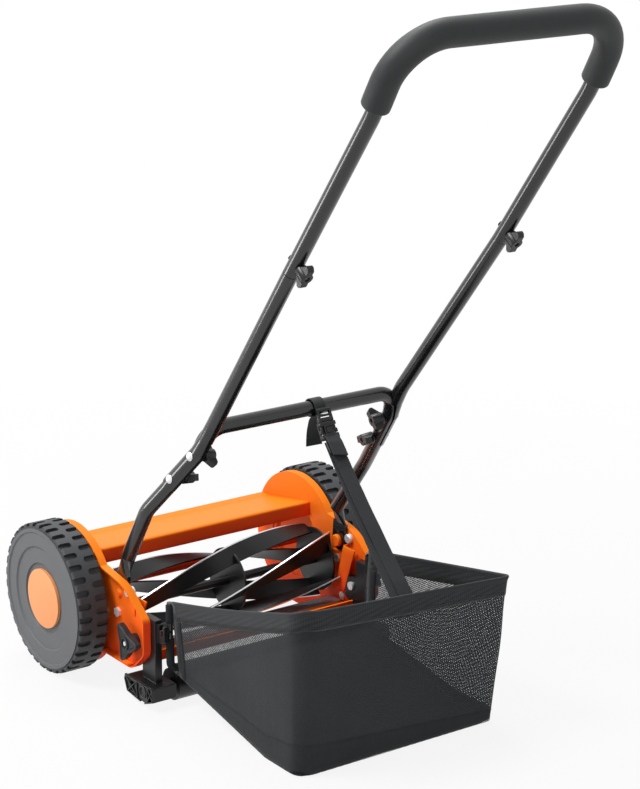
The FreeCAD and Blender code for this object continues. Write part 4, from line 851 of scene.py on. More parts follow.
def rounded_block(bm: BMesh, size: Sequence[float], place: Matrix, edge: float, segments: int = 3) -> None:
    """Block with every edge rounded.

    Args:
        bm: The mesh it is added to.
        size: Its width, depth and height.
        place: Where its middle goes.
        edge: Radius of the rounding.
        segments: Facets across each rounding.
    """
    block = bmesh.ops.create_cube(bm, size=1.0, matrix=place @ Matrix.Diagonal(size).to_4x4())["verts"]
    bmesh.ops.bevel(bm, geom=edges_of(block), offset=edge, segments=segments, profile=0.5, affect="EDGES",
                    material=-1)


@dataclass(frozen=True)
class Piece:
    """What a new piece is called, rides on, wears and stands for.

    Attributes:
        name: The piece's name.
        body: The frame body it rides on.
        finish: Its surface.
        slot: The record's slot named for its finish; not used.
        stands_for: The frame nodes that it replaces.
    """

    name: str
    body: str
    finish: Finish
    slot: Slot
    stands_for: tuple[str, ...] = ()

    def made_from(self, bm: BMesh, sharp: float = 38.0, wall: float = 0.0,
                  edge: float = 0.0) -> bpy.types.Object:
        """Turn a bmesh into the finished object.

        Args:
            bm: The piece's shape, which is used up.
            sharp: Edges that bend more than this many degrees stay crisp.
            wall: Thickness that a sheet is given, half to each side; a closed shape has none.
            edge: Rounding of the sheet's edges.

        Returns:
            The object, dressed and riding on its body.
        """
        bmesh.ops.remove_doubles(bm, verts=bm.verts, dist=1e-6)
        if not wall:
            bmesh.ops.recalc_face_normals(bm, faces=bm.faces)
        mesh = bpy.data.meshes.new(self.name)
        bm.to_mesh(mesh)
        bm.free()
        mesh.shade_smooth()
        mesh.set_sharp_from_angle(angle=math.radians(sharp))
        mesh.materials.append(self.finish.material())
        piece = bpy.data.objects.new(self.name, mesh)
        bpy.context.scene.collection.objects.link(piece)
        if wall:
            shell = piece.modifiers.new("wall", "SOLIDIFY")
            shell.thickness, shell.offset = wall, 0.0
        if edge:
            bevel = piece.modifiers.new("edge", "BEVEL")
            bevel.width, bevel.segments, bevel.limit_method = edge, 2, "ANGLE"
            bevel.angle_limit = math.radians(60.0)
        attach(piece, self.body)
        if self.stands_for:
            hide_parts(*self.stands_for)
        log.info("%s has %d faces", self.name, len(mesh.polygons))
        return piece


@dataclass(frozen=True)
class Stitching:
    """Kind of sewn seam.

    Attributes:
        pitch: Distance from one stitch to the next.
        length: Length of each stitch.
        thread: Radius of the thread.
    """

    pitch: float
    length: float
    thread: float

    def stitch(self, bm: BMesh, place: Matrix, along: Vector) -> None:
        """Add one stitch.

        Args:
            bm: The mesh it is added to.
            place: Where its middle goes.
            along: Direction that it runs in, in the place's own axes.
        """
        turn = along.to_track_quat("Z", "Y").to_matrix().to_4x4()
        size = Matrix.Diagonal((self.thread, self.thread, self.length / 2, 1.0))
        bmesh.ops.create_uvsphere(bm, u_segments=5, v_segments=4, radius=1.0, matrix=place @ turn @ size)


HEM_SEAM = Stitching(0.0042, 0.0029, 0.00035)
BOX_SEAM = Stitching(0.0028, 0.0020, 0.00028)


# ---------------------------------------------------------------- sub-assemblies
@dataclass
class WheelPair:
    """Two geared wheels: treaded tyres on moulded discs with a cap at the middle."""

    def build(self) -> None:
        """Dress both wheels."""
        dress(TYRE_RUBBER, both("tyre"))
        dress(WHEEL_PLASTIC, both("wheel_disc"))
        dress(CAP_PLASTIC, both("hubcap"))
        dress(BRONZE, both("wheel_bush"))


@dataclass
class Chassis:
    """Side plates, crossbar, axle and cutter bar.

    Attributes:
        sheet: Thickness of the crossbar's steel.
        nose_flat: Depth of the level strip behind its nose.
        nose_lip: Height of the lip at its nose.
        rear_lip: Height of the lip at its rear.
        fold: Radius of its press folds.
        housing: Radius of the ring pressed into each plate round its gears.
        ring: Radius of that ring's own section.
        ring_lift: How far the section's middle stands out of the plate.
        stay_reach: How far the cutter bar's stays stand in from the plates.
        stay_foot: Height, front and rear of a stay's foot.
        stay_top: The same at its top.
    """

    sheet: float = 0.002
    nose_flat: float = 0.023
    nose_lip: float = 0.019
    rear_lip: float = 0.022
    fold: float = 0.0026
    housing: float = 0.0575
    ring: float = 0.0017
    ring_lift: float = 0.0002
    stay_reach: float = 0.0108
    stay_foot: tuple[float, float, float] = (0.066, 0.187, 0.165)
    stay_top: tuple[float, float, float] = (0.136, 0.167, 0.139)

    def build(self) -> None:
        """Dress the frame's plates and fasteners and press the crossbar."""
        self.housing_rings()
        dress(ORANGE_PAINT, both("side_plate") + ["axle_tube", "cutter_bar", "handle_studs"])
        self.crossbar()
        self.stays()
        dress(ZINC, ["wheel_axle", "axle_nuts", "bed_knife_screws", "cutter_bar_bolts", "handle_stop_bolts"])
        dress(GROUND_STEEL, ["bed_knife"])
        dress(BRONZE, ["reel_bearings"])

    def housing_rings(self) -> None:
        """Ring of the gear housing, pressed up on the inside of each plate."""
        low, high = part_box("wheel_axle")
        axle = (low + high) / 2
        bm = bmesh.new()
        for side in Side:
            face = side.face("side_plate", outer=False) - side.value * self.ring_lift
            centre = Vector((face, axle.y, axle.z))
            place = Matrix.Translation(centre + Z_AXIS * self.housing) @ Matrix.Rotation(math.pi / 2, 4, "X")
            section = bmesh.ops.create_circle(bm, segments=14, radius=self.ring, matrix=place)["verts"]
            bmesh.ops.spin(bm, geom=section + edges_of(section), cent=centre, axis=X_AXIS, angle=math.tau,
                           steps=96, use_merge=True)
        Piece("plate_housing_rings", "chassis", ORANGE_PAINT, Slot.ORANGE).made_from(bm)

    def stays(self) -> None:
        """Folded stay at each end of the cutter bar: a web against the plate and a wall that leans back."""
        rows = 8
        for side in Side:
            plate = side.face("side_plate", outer=False)
            wall = plate - side.value * self.stay_reach

            def surface(across: int, along: int) -> Laid:
                """One point of the stay.

                Args:
                    across: The point's count across the grid.
                    along: Its count along the grid.

                Returns:
                    The point and its UV.
                """
                up, front, rear = [a + (b - a) * along / rows for a, b in zip(self.stay_foot, self.stay_top)]
                fold = rounded_line([Vector((plate - side.value * self.sheet / 2, front, up)),
                                     Vector((wall, front, up)), Vector((wall, rear, up))], (self.fold,))
                return fold[across], (fold[across].y, up)

            bm = bmesh.new()
            laid_grid(bm, (ARC_STEPS + 2, rows), surface)
            Piece(f"{side.word}_cutter_bar_stay", "chassis", ORANGE_PAINT, Slot.ORANGE).made_from(
                bm, wall=self.sheet, edge=0.0003)

    def crossbar(self) -> None:
        """Pressed crossbar: a sloping top between two lips, with rounded folds."""
        low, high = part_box("front_crossbar")
        half = self.sheet / 2
        top, nose = high.z - half, low.z + self.nose_lip - half
        rear, front = low.y + half, high.y - half
        profile = [(rear, high.z - self.rear_lip), (rear, top), (high.y - self.nose_flat, nose),
                   (front, nose), (front, low.z)]
        corners = [Vector(((low.x + high.x) / 2, y, z)) for y, z in profile]
        line = divided(rounded_line(corners, (self.fold, self.fold * 2, self.fold)), {0: 3, ARC_STEPS + 1: 8})
        bm = bmesh.new()
        ribbon(bm, line, (X_AXIS, X_AXIS), (high.x - low.x, high.x - low.x), cells=24)
        Piece("crossbar_pressing", "chassis", ORANGE_PAINT, Slot.ORANGE, ("front_crossbar",)).made_from(
            bm, wall=self.sheet, edge=0.0004)


@dataclass
class CuttingReel:
    """Five helical blades on three discs, with the pinions that drive them."""

    def build(self) -> None:
        """Dress the reel."""
        dress(BLADE, [f"reel_blade_{k}" for k in range(1, 6)])
        dress(REEL_ENAMEL, ["reel_shaft", "reel_disc_left", "reel_disc_middle", "reel_disc_right"])
        dress(GROUND_STEEL, both("pinion") + ["pinion_pawls"])


@dataclass
class Handle:
    """Lower handle, side tubes and top handle with its foam and its knobs.

    Attributes:
        foam_radius: Outside radius of the foam.
        foam_bend: Radius of its bends, along the tube's axis.
        tube_radius: Radius of the tube that it is pushed onto.
        foam_edge: Rounding of its cut ends.
        foam_fit: Gap between the foam and its box in the frame, and between it and the tube.
        foam_fall: Direction of its right end, down from the bend.
        foam_uneven: How far its radius varies, as a share.
        foam_lumps: How many lumps it has to a metre.
    """

    foam_radius: float = 0.0172
    foam_bend: float = 0.064
    tube_radius: float = 0.010
    foam_edge: float = 0.0025
    foam_fit: float = 0.0003
    foam_fall: tuple[float, float, float] = (0.002, 0.054, -0.093)
    foam_uneven: float = 0.012
    foam_lumps: float = 28.0

    def build(self) -> None:
        """Dress the tubes and build the foam."""
        dress(BLACK_TUBE, ["lower_handle", "top_handle"] + both("handle_tube"))
        dress(ZINC, ["lower_joint_bolts", "upper_joint_bolts"])
        knobs = both("leg_knob_high", "leg_knob_low", "seam_knob")
        dress(BLACK_NYLON, knobs)
        softened(knobs, 0.0007)
        self.foam()

    def foam(self) -> None:
        """Foam sleeve, a little uneven where it is drawn round the bends, with rounded cut ends."""
        low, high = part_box("foam_grip")
        reach, arc_steps = self.foam_radius + self.foam_fit, 14
        corner = Vector((high.x - reach, low.y + reach, high.z - reach))
        fall = Vector(self.foam_fall).normalized()
        end = corner + fall * ((corner.z - low.z - reach * 0.5) / -fall.z)
        corners = [end, corner] + [Vector((-p.x, p.y, p.z)) for p in (corner, end)]
        places = path_frames(divided(rounded_line(corners, (self.foam_bend, self.foam_bend), arc_steps),
                                     {0: 4, arc_steps + 1: 26, 2 * arc_steps + 2: 4}))
        edge = [(self.tube_radius + self.foam_fit, 0.0), (self.foam_radius - self.foam_edge, 0.0)]
        for turn in (math.pi / 2 * k / 4 for k in range(1, 5)):
            edge.append((self.foam_radius - self.foam_edge * (1 - math.sin(turn)),
                         self.foam_edge * (1 - math.cos(turn))))
        steps = [places[0] @ Matrix.Translation((0, 0, ahead)) @ Matrix.Scale(radius, 4)
                 for radius, ahead in edge]
        for place in places[1:-1]:
            lump = self.foam_uneven * noise.noise(place.translation * self.foam_lumps)
            steps.append(place @ Matrix.Scale(self.foam_radius * (1 + lump), 4))
        steps += [places[-1] @ Matrix.Translation((0, 0, -ahead)) @ Matrix.Scale(radius, 4)
                  for radius, ahead in reversed(edge)]
        bm = bmesh.new()
        tube(bm, 44, steps)
        bmesh.ops.holes_fill(bm, edges=[e for e in bm.edges if e.is_boundary], sides=0)
        grip = Piece("foam_sleeve", "handle", FOAM, Slot.FOAM, ("foam_grip",)).made_from(bm)


@dataclass
class Carriage:
    """Roller, its brackets and the height knobs.

    Attributes:
        knob_reach: Radius of a height knob at its corners.
        knob_corner: Rounding of its corners.
        knob_hollow: How far its flanks are drawn in, as a share.
        knob_turn: How far its rear corner is turned up, in radians.
        knob_plate: Thickness of its plate, as a share of its depth in the frame.
        knob_boss: Radius of the boss under the plate, and its foot and height as such shares.
        knob_ring: The same for the ring round the bolt.
        knob_dish: Steps of the plate's face, each an inset and then a rise.
        knob_well: Steps of the ring's face.
        rib_rise: How far the ribs stand out of a bracket.
        rib_width: Width of a rib.
        ribs: Both ends of each rib, as how far back and how far up they are on the bracket's foot.
    """

    knob_reach: float = 0.0290
    knob_corner: float = 0.0032
    knob_hollow: float = 0.12
    knob_turn: float = 0.15
    knob_plate: float = 0.40
    knob_boss: tuple[float, float, float] = (0.0105, -0.50, 0.52)
    knob_ring: tuple[float, float, float] = (0.0088, 0.28, 0.20)
    knob_dish: tuple[tuple[float, float], ...] = ((0.0009, 0.0009), (0.0022, 0.0), (0.0005, -0.0012))
    knob_well: tuple[tuple[float, float], ...] = ((0.0005, 0.0004), (0.0016, 0.0), (0.0002, -0.0048))
    rib_rise: float = 0.0017
    rib_width: float = 0.0019
    ribs: tuple[tuple[tuple[float, float], tuple[float, float]], ...] = (
        ((0.003, 0.0265), (0.071, 0.0265)), ((0.003, 0.0265), (0.0012, 0.020)),
        ((0.0012, 0.020), (0.0075, 0.005)), ((0.0075, 0.005), (0.040, 0.0012)),
        ((0.052, 0.0012), (0.071, 0.009)), ((0.071, 0.009), (0.071, 0.0265)),
        ((0.003, 0.0255), (0.033, 0.0035)), ((0.009, 0.006), (0.031, 0.0255)),
        ((0.033, 0.0035), (0.031, 0.0255)), ((0.058, 0.0045), (0.058, 0.0255)),
        ((0.058, 0.0255), (0.071, 0.010)), ((0.058, 0.006), (0.071, 0.0255)))

    def build(self) -> None:
        """Dress the roller carriage."""
        dress(BLACK_NYLON, both("roller_bracket") + ["roller"])
        softened(both("roller_bracket"), 0.0009)
        dress(ZINC, ["height_bolts", "roller_axle"])
        for side in Side:
            self.height_knob(side)
            self.bracket_ribs(side)

    def bracket_ribs(self, side: Side) -> None:
        """Border and crossed ribs moulded on the outer face of a bracket's foot.

        Args:
            side: The bracket's side.
        """
        low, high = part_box(f"{side.word}_roller_bracket")
        face = side.face("roller_bracket", outer=True) - side.value * self.rib_rise
        bm = bmesh.new()
        for ends in self.ribs:
            start, end = [Vector((face, high.y - back, low.z + up)) for back, up in ends]
            along = (end - start).normalized()
            rounded_block(bm, (2 * self.rib_rise, self.rib_width, (end - start).length + self.rib_width),
                          placed((X_AXIS, along.cross(X_AXIS), along), (start + end) / 2),
                          self.rib_width * 0.3, 2)
        Piece(f"{side.word}_bracket_ribs", "carriage", BLACK_NYLON, Slot.BLACK_PLASTIC).made_from(bm)

    def knob_radius(self, turn: float) -> float:
        """Outline of a height knob: rounded corners and slightly hollow flanks.

        Args:
            turn: Angle from one of its corners, in radians.

        Returns:
            How far the outline is from the middle there.
        """
        third = math.tau / 3
        off = abs((turn + third / 2) % third - third / 2)
        reach, corner = self.knob_reach - self.knob_corner, self.knob_corner
        if off < math.atan2(corner * math.sin(third / 2), reach + corner / 2):
            return reach * math.cos(off) + math.sqrt(corner ** 2 - (reach * math.sin(off)) ** 2)
        hollow = 1 - self.knob_hollow * math.sin(math.pi * min(1.0, off / (third / 2)) / 2) ** 4
        return (reach / 2 + corner) / math.cos(third / 2 - off) * hollow

    @staticmethod
    def raised(bm: BMesh, segments: int, outline: Callable[[float], float], foot: float,
               steps: Sequence[tuple[float, float]]) -> None:
        """Raise a plate from an outline in steps, each an inset and then a rise.

        Args:
            bm: The mesh it is added to.
            segments: How many sides the outline has.
            outline: Gives the outline's radius at an angle in radians.
            foot: Height of the plate's foot.
            steps: How far each step goes in from the last edge, and how far up.
        """
        ring = bmesh.ops.create_circle(bm, cap_ends=True, segments=segments, radius=1.0)["verts"]
        for vert in ring:
            vert.co = vert.co * outline(math.atan2(vert.co.y, vert.co.x)) + Z_AXIS * foot
        top = [f for f in bmesh.ops.extrude_face_region(bm, geom=list(ring[0].link_faces),
                                                        use_keep_orig=True)["geom"]
               if isinstance(f, bmesh.types.BMFace)]
        for inset, rise in steps:
            if inset:
                bmesh.ops.inset_region(bm, faces=top, thickness=inset, use_even_offset=True)
            bmesh.ops.translate(bm, vec=(0.0, 0.0, rise), verts=list({v for f in top for v in f.verts}))

    def height_knob(self, side: Side) -> None:
        """Three-cornered knob with hollow flanks, a dished face and a ring round its bolt.

        Args:
            side: The knob's side.
        """
        low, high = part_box("height_bolts")
        bolt = (low + high) / 2
        low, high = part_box(f"{side.word}_height_knob")
        depth = high.x - low.x
        bm = bmesh.new()
        self.raised(bm, 96, self.knob_radius, 0.0, [(0.0, depth * self.knob_plate), *self.knob_dish])
        for (radius, foot, rise), face in ((self.knob_boss, ()), (self.knob_ring, self.knob_well)):
            self.raised(bm, 40, lambda turn: radius, depth * foot, [(0.0, depth * rise), *face])
        out = X_AXIS * side.value
        rear = Vector((0.0, -math.cos(self.knob_turn), math.sin(self.knob_turn)))
        seat = side.face("height_knob", outer=True) - side.value * depth * 0.5
        place = placed((rear, out.cross(rear), out), Vector((seat, bolt.y, bolt.z)))
        bmesh.ops.transform(bm, matrix=place, verts=bm.verts)
        Piece(f"{side.word}_height_knob_moulded", f"{side.word}_height_knob", GREY_NYLON, Slot.GREY_PLASTIC,
              (f"{side.word}_height_knob",)).made_from(bm)


@dataclass
class GrassCatcher:
    """Wire frame and the sewn bag on it: mesh walls over an opaque tray, with a folded hem round the rim.

    Attributes:
        rim: Heights of the rim at the left front, left rear, right rear and right front corners.
        rim_rounds: Rounding of the left and right rear corners at the rim, seen from above.
        foot_rounds: The same at the foot.
        foot_inset: How far the foot lies inside the rim, at the sides and at the rear.
        front_low: Height of the floor at its front edge.
        slope: How steeply the floor falls before it rests on the ground.
        rest: Height of the cloth that rests on the ground.
        tray: Height of the tray's sides, at the same corners as the rim's.
        hem: Depth of the hem.
        rim_sag: How far the left rim hangs below a straight line.
        splay: How far the right rear corner is pulled outwards.
        thick: Thickness of the cloth.
        sleeve: Radius of the sleeves round the wire.
        pins: Heights between which the side sleeves are left open for the frame's hook pins.
        front_lip: Height of the cloth turned up over the lower wire.
        floor_bends: Rounding of the floor at the wire and where it comes to rest.
        billow: How far the walls' slack cloth billows.
        billows: How many billows there are to a metre.
        pucker: How far the seam at the foot puckers the walls.
        pucker_length: Length along the wall in which a pucker turns by a radian.
        ruck: How far the floor rucks up.
        rucks: How many rucks there are to a metre.
        runs: Cells of each straight run of the walls, by its number.
    """

    rim: tuple[float, float, float, float] = (0.150, 0.229, 0.208, 0.155)
    rim_rounds: tuple[float, float] = (0.030, 0.008)
    foot_rounds: tuple[float, float] = (0.024, 0.010)
    foot_inset: tuple[float, float] = (0.008, 0.018)
    front_low: float = 0.0425
    slope: float = 0.2
    rest: float = 0.0018
    tray: tuple[float, float, float, float] = (0.014, 0.044, 0.018, 0.010)
    hem: float = 0.028
    rim_sag: float = 0.004
    splay: float = 0.004
    thick: float = 0.0006
    sleeve: float = 0.0052
    pins: tuple[float, float] = (0.097, 0.120)
    front_lip: float = 0.054
    floor_bends: tuple[float, float] = (0.006, 0.120)
    billow: float = 0.0035
    billows: float = 11.0
    pucker: float = 0.0007
    pucker_length: float = 0.0031
    ruck: float = 0.0016
    rucks: float = 13.0
    runs: dict[int, int] = field(default_factory=lambda: {0: 30, ARC_STEPS + 1: 34, 2 * ARC_STEPS + 2: 30})

    def __post_init__(self) -> None:
        """Work out both outlines of the walls from the frame's bag."""
        low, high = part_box("grass_bag")
        self.front, self.rear, self.half = high.y, low.y, high.x
        self.top = self.outline(self.half, self.rear, self.rim_rounds)
        inset, back = self.foot_inset
        self.foot = self.outline(self.half - inset, self.rear + back, self.foot_rounds)
        self.arc = lengths_along(self.top)
        legs = (0.0, self.front - self.rear, self.front - self.rear + 2 * self.half)
        whole = legs[2] + legs[1]
        self.corners = [share * self.arc[-1] / whole for share in (*legs, whole)]
        for point, along in zip(self.top, self.arc):
            sag = self.rim_sag * math.sin(math.pi * min(1.0, along / self.corners[1]))
            point.z = between(list(zip(self.corners, self.rim)), along) - sag
        for point in self.foot:
            point.z = self.floor_height(point.y)

    def outline(self, half: float, rear: float, rounds: tuple[float, float]) -> Line:
        """Plan of the walls, from the left front corner round the rear to the right front one."""
        plan = ((-half, self.front), (-half, rear), (half + self.splay, rear), (half, self.front))
        return divided(rounded_line([Vector((x, y, 0.0)) for x, y in plan], rounds), self.runs)

    def floor_height(self, y: float) -> float:
        """Height of the floor, which falls to the rear until it rests on the ground."""
        return max(self.rest, self.front_low - self.slope * (self.front - y))

    def outward(self, k: int) -> Vector:
        """Direction out of the wall at one of its outline's points."""
        ahead = self.top[min(k + 1, len(self.top) - 1)] - self.top[max(k - 1, 0)]
        return Vector((ahead.y, -ahead.x, 0.0)).normalized()

    def on_wall(self, k: int, height: float, out: float = 0.0) -> Laid:
        """A point of the wall.

        Args:
            k: Which point of the outline it is above.
            height: How far up the cloth it is, counted from the foot, or down from the rim if negative.
            out: How far outside the cloth it lies.

        Returns:
            Its place and its UV.
        """
        rise = self.top[k] - self.foot[k]
        up = height if height >= 0 else rise.length + height
        share = up / rise.length
        place = self.foot[k] + rise * share
        billow = self.billow * noise.noise(place * self.billows)
        pucker = self.pucker * math.sin(self.arc[k] / self.pucker_length) * max(0.0, 1.0 - share)
        slack = (billow + pucker) * math.sin(math.pi * min(1.0, max(0.0, share)))
        return place + self.outward(k) * (out + slack), (self.arc[k], up)

    def build(self) -> None:
        """Dress the wire and sew the bag."""
        dress(BLACK_TUBE, ["catcher_frame"])
        self.walls()
        self.hems()
        self.tray_sides()
        self.floor()
        self.sleeves()
        self.stitches()

    def tray_height(self, k: int) -> float:
        """Height of the tray's side at one of the outline's points."""
        return between(list(zip(self.corners, self.tray)), self.arc[k])

    def walls(self) -> None:
        """Mesh walls, from the foot to the rim."""
        rows = 30
        bm = bmesh.new()

        def surface(across: int, along: int) -> Laid:
            """One point of the walls."""
            whole = (self.top[across] - self.foot[across]).length
            return self.on_wall(across, whole * along / rows)

        laid_grid(bm, (len(self.top) - 1, rows), surface)
        Piece("bag_walls", "catcher", BAG_MESH, Slot.CLOTH, ("grass_bag",)).made_from(bm, wall=self.thick / 4)

    def hems(self) -> None:
        """Hem folded over the rim, and the narrower ones down both front edges."""
        bead, gap, end_height = 0.0021, 0.0007, 0.092
        fold = [(-self.hem, gap), (-self.hem * 0.62, gap), (-self.hem * 0.3, gap), (-2.6 * bead, gap * 1.6)]
        turns = [(-bead + bead * math.sin(turn), bead * math.cos(turn))
                 for turn in (math.pi * j / 8 for j in range(9))]
        profile = fold + turns + [(height, -out) for height, out in reversed(fold)]
        bm = bmesh.new()

        def surface(across: int, along: int) -> Laid:
            """One point of the rim's hem.

            Args:
                across: The point's count across the grid.
                along: Its count along the grid.

            Returns:
                The point and its UV.
            """
            height, out = profile[along]
            place, (u, _) = self.on_wall(across, min(height, -1e-6), out)
            return place, (u, 0.3 + along * 0.004)

        last, cells, rows = len(self.top) - 1, 2, 12
        laid_grid(bm, (last, len(profile) - 1), surface)
        for first in (0, last - cells):
            for out in (gap, -gap):
                laid_grid(bm, (cells, rows), lambda across, along: self.on_wall(
                    first + across, 0.001 + end_height * along / rows, out))
        Piece("bag_hems", "catcher", BAG_HEM, Slot.CLOTH).made_from(bm, wall=self.thick / 2)

    def tray_sides(self) -> None:
        """Sides of the opaque tray, turned in under the floor."""
        bend, lip, rows, inside = 0.005, 0.011, 6, -self.thick * 1.4
        arc = [(bend - bend * math.cos(turn), bend - bend * math.sin(turn))
               for turn in (math.pi / 2 * j / 5 for j in range(6))]
        bm = bmesh.new()

        def surface(across: int, along: int) -> Laid:
            """One point of the tray's sides.

            Args:
                across: The point's count across the grid.
                along: Its count along the grid.

            Returns:
                The point and its UV.
            """
            high = self.tray_height(across)
            if along < rows:
                return self.on_wall(across, high + (bend - high) * along / rows, inside)
            inset, height = (arc + [(lip, 0.0)])[along - rows]
            place, (u, _) = self.on_wall(across, 0.0, inside - inset)
            return place + Z_AXIS * height, (u, height - inset)

        laid_grid(bm, (len(self.top) - 1, rows + len(arc)), surface)
        Piece("bag_tray", "catcher", BAG_CLOTH, Slot.CLOTH).made_from(bm, wall=self.thick)

    def floor(self) -> None:
        """Floor of the tray, from the lower wire down to the ground and back to the rear wall."""
        half, round_off = self.half - self.foot_inset[0], sum(self.foot_rounds) / 2
        end = self.rear + self.foot_inset[1] + self.thick
        rest = self.front - (self.front_low - self.rest) / self.slope
        front = self.front + 0.0005
        section = ((front, self.front_lip), (front, self.front_low), (rest, self.rest), (end, self.rest))
        line = divided(rounded_line([Vector((0.0, y, z)) for y, z in section], self.floor_bends),
                       {0: 3, ARC_STEPS + 1: 20, 2 * ARC_STEPS + 2: 16})
        sums, cells = lengths_along(line), 30
        bm = bmesh.new()

        def surface(across: int, along: int) -> Laid:
            """One point of the floor.

            Args:
                across: The point's count across the grid.
                along: Its count along the grid.

            Returns:
                The point and its UV.
            """
            place, share = line[along], across / cells
            near = max(0.0, end + round_off - place.y)
            wide = half - (round_off - math.sqrt(max(0.0, round_off ** 2 - near ** 2)))
            x = wide * (2 * share - 1)
            ruck = self.ruck * max(0.0, noise.noise(Vector((x, place.y, 0.0)) * self.rucks))
            z = place.z + self.thick + ruck * math.sin(math.pi * share)
            return Vector((x, place.y, z)), (x, sums[along])

        laid_grid(bm, (cells, len(line) - 1), surface)
        Piece("bag_floor", "catcher", BAG_CLOTH, Slot.CLOTH).made_from(bm, wall=self.thick)

    def sleeves(self) -> None:
        """Cloth sleeves round the wire, left open where its hook pins leave it."""
        low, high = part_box("catcher_frame")
        wire, end, start = 0.004, *self.pins
        y, foot, side = (low.y + high.y) / 2, low.z + wire, self.half + 0.002
        lower = [Vector((x, y, z)) for x, z in ((-side, end), (-side, foot), (side, foot), (side, end))]
        lines = [divided(rounded_line(lower, (0.010, 0.010)), {ARC_STEPS + 1: 30})]
        lines += [divided([Vector((x, y, z)) for z in (start, start + 0.013, high.z - wire)], {0: 3, 1: 3})
                  for x in (-side, side)]
        bm = bmesh.new()
        for line in lines:
            places = path_frames(line)
            radii = [self.sleeve * (1 + 0.05 * noise.noise(place.translation * 60.0)) for place in places]
            tube(bm, 20, [place @ Matrix.Scale(radius, 4) for place, radius in zip(places, radii)])
        Piece("bag_sleeves", "catcher", BAG_CLOTH, Slot.CLOTH).made_from(bm, wall=self.thick)

    def stitches(self) -> None:
        """Two rows of lock stitches through the hem and one along the tray's top edge."""
        bm = bmesh.new()
        rows = [(lambda k: -self.hem + 0.003, 0.0011), (lambda k: -self.hem + 0.006, 0.0011),
                (lambda k: self.tray_height(k) - 0.003, 0.0003)]
        for height, out in rows:
            places = [self.on_wall(k, height(k), out)[0] for k in range(len(self.top))]
            sums = lengths_along(places)
            for n in range(1, int(sums[-1] / HEM_SEAM.pitch)):
                at = n * HEM_SEAM.pitch
                k = next(i for i, s in enumerate(sums[1:]) if s >= at)
                ahead = (places[k + 1] - places[k]).normalized()
                HEM_SEAM.stitch(bm, Matrix.Translation(places[k] + ahead * (at - sums[k])), ahead)
        Piece("bag_stitches", "catcher", THREAD, Slot.CLOTH).made_from(bm, sharp=80.0)


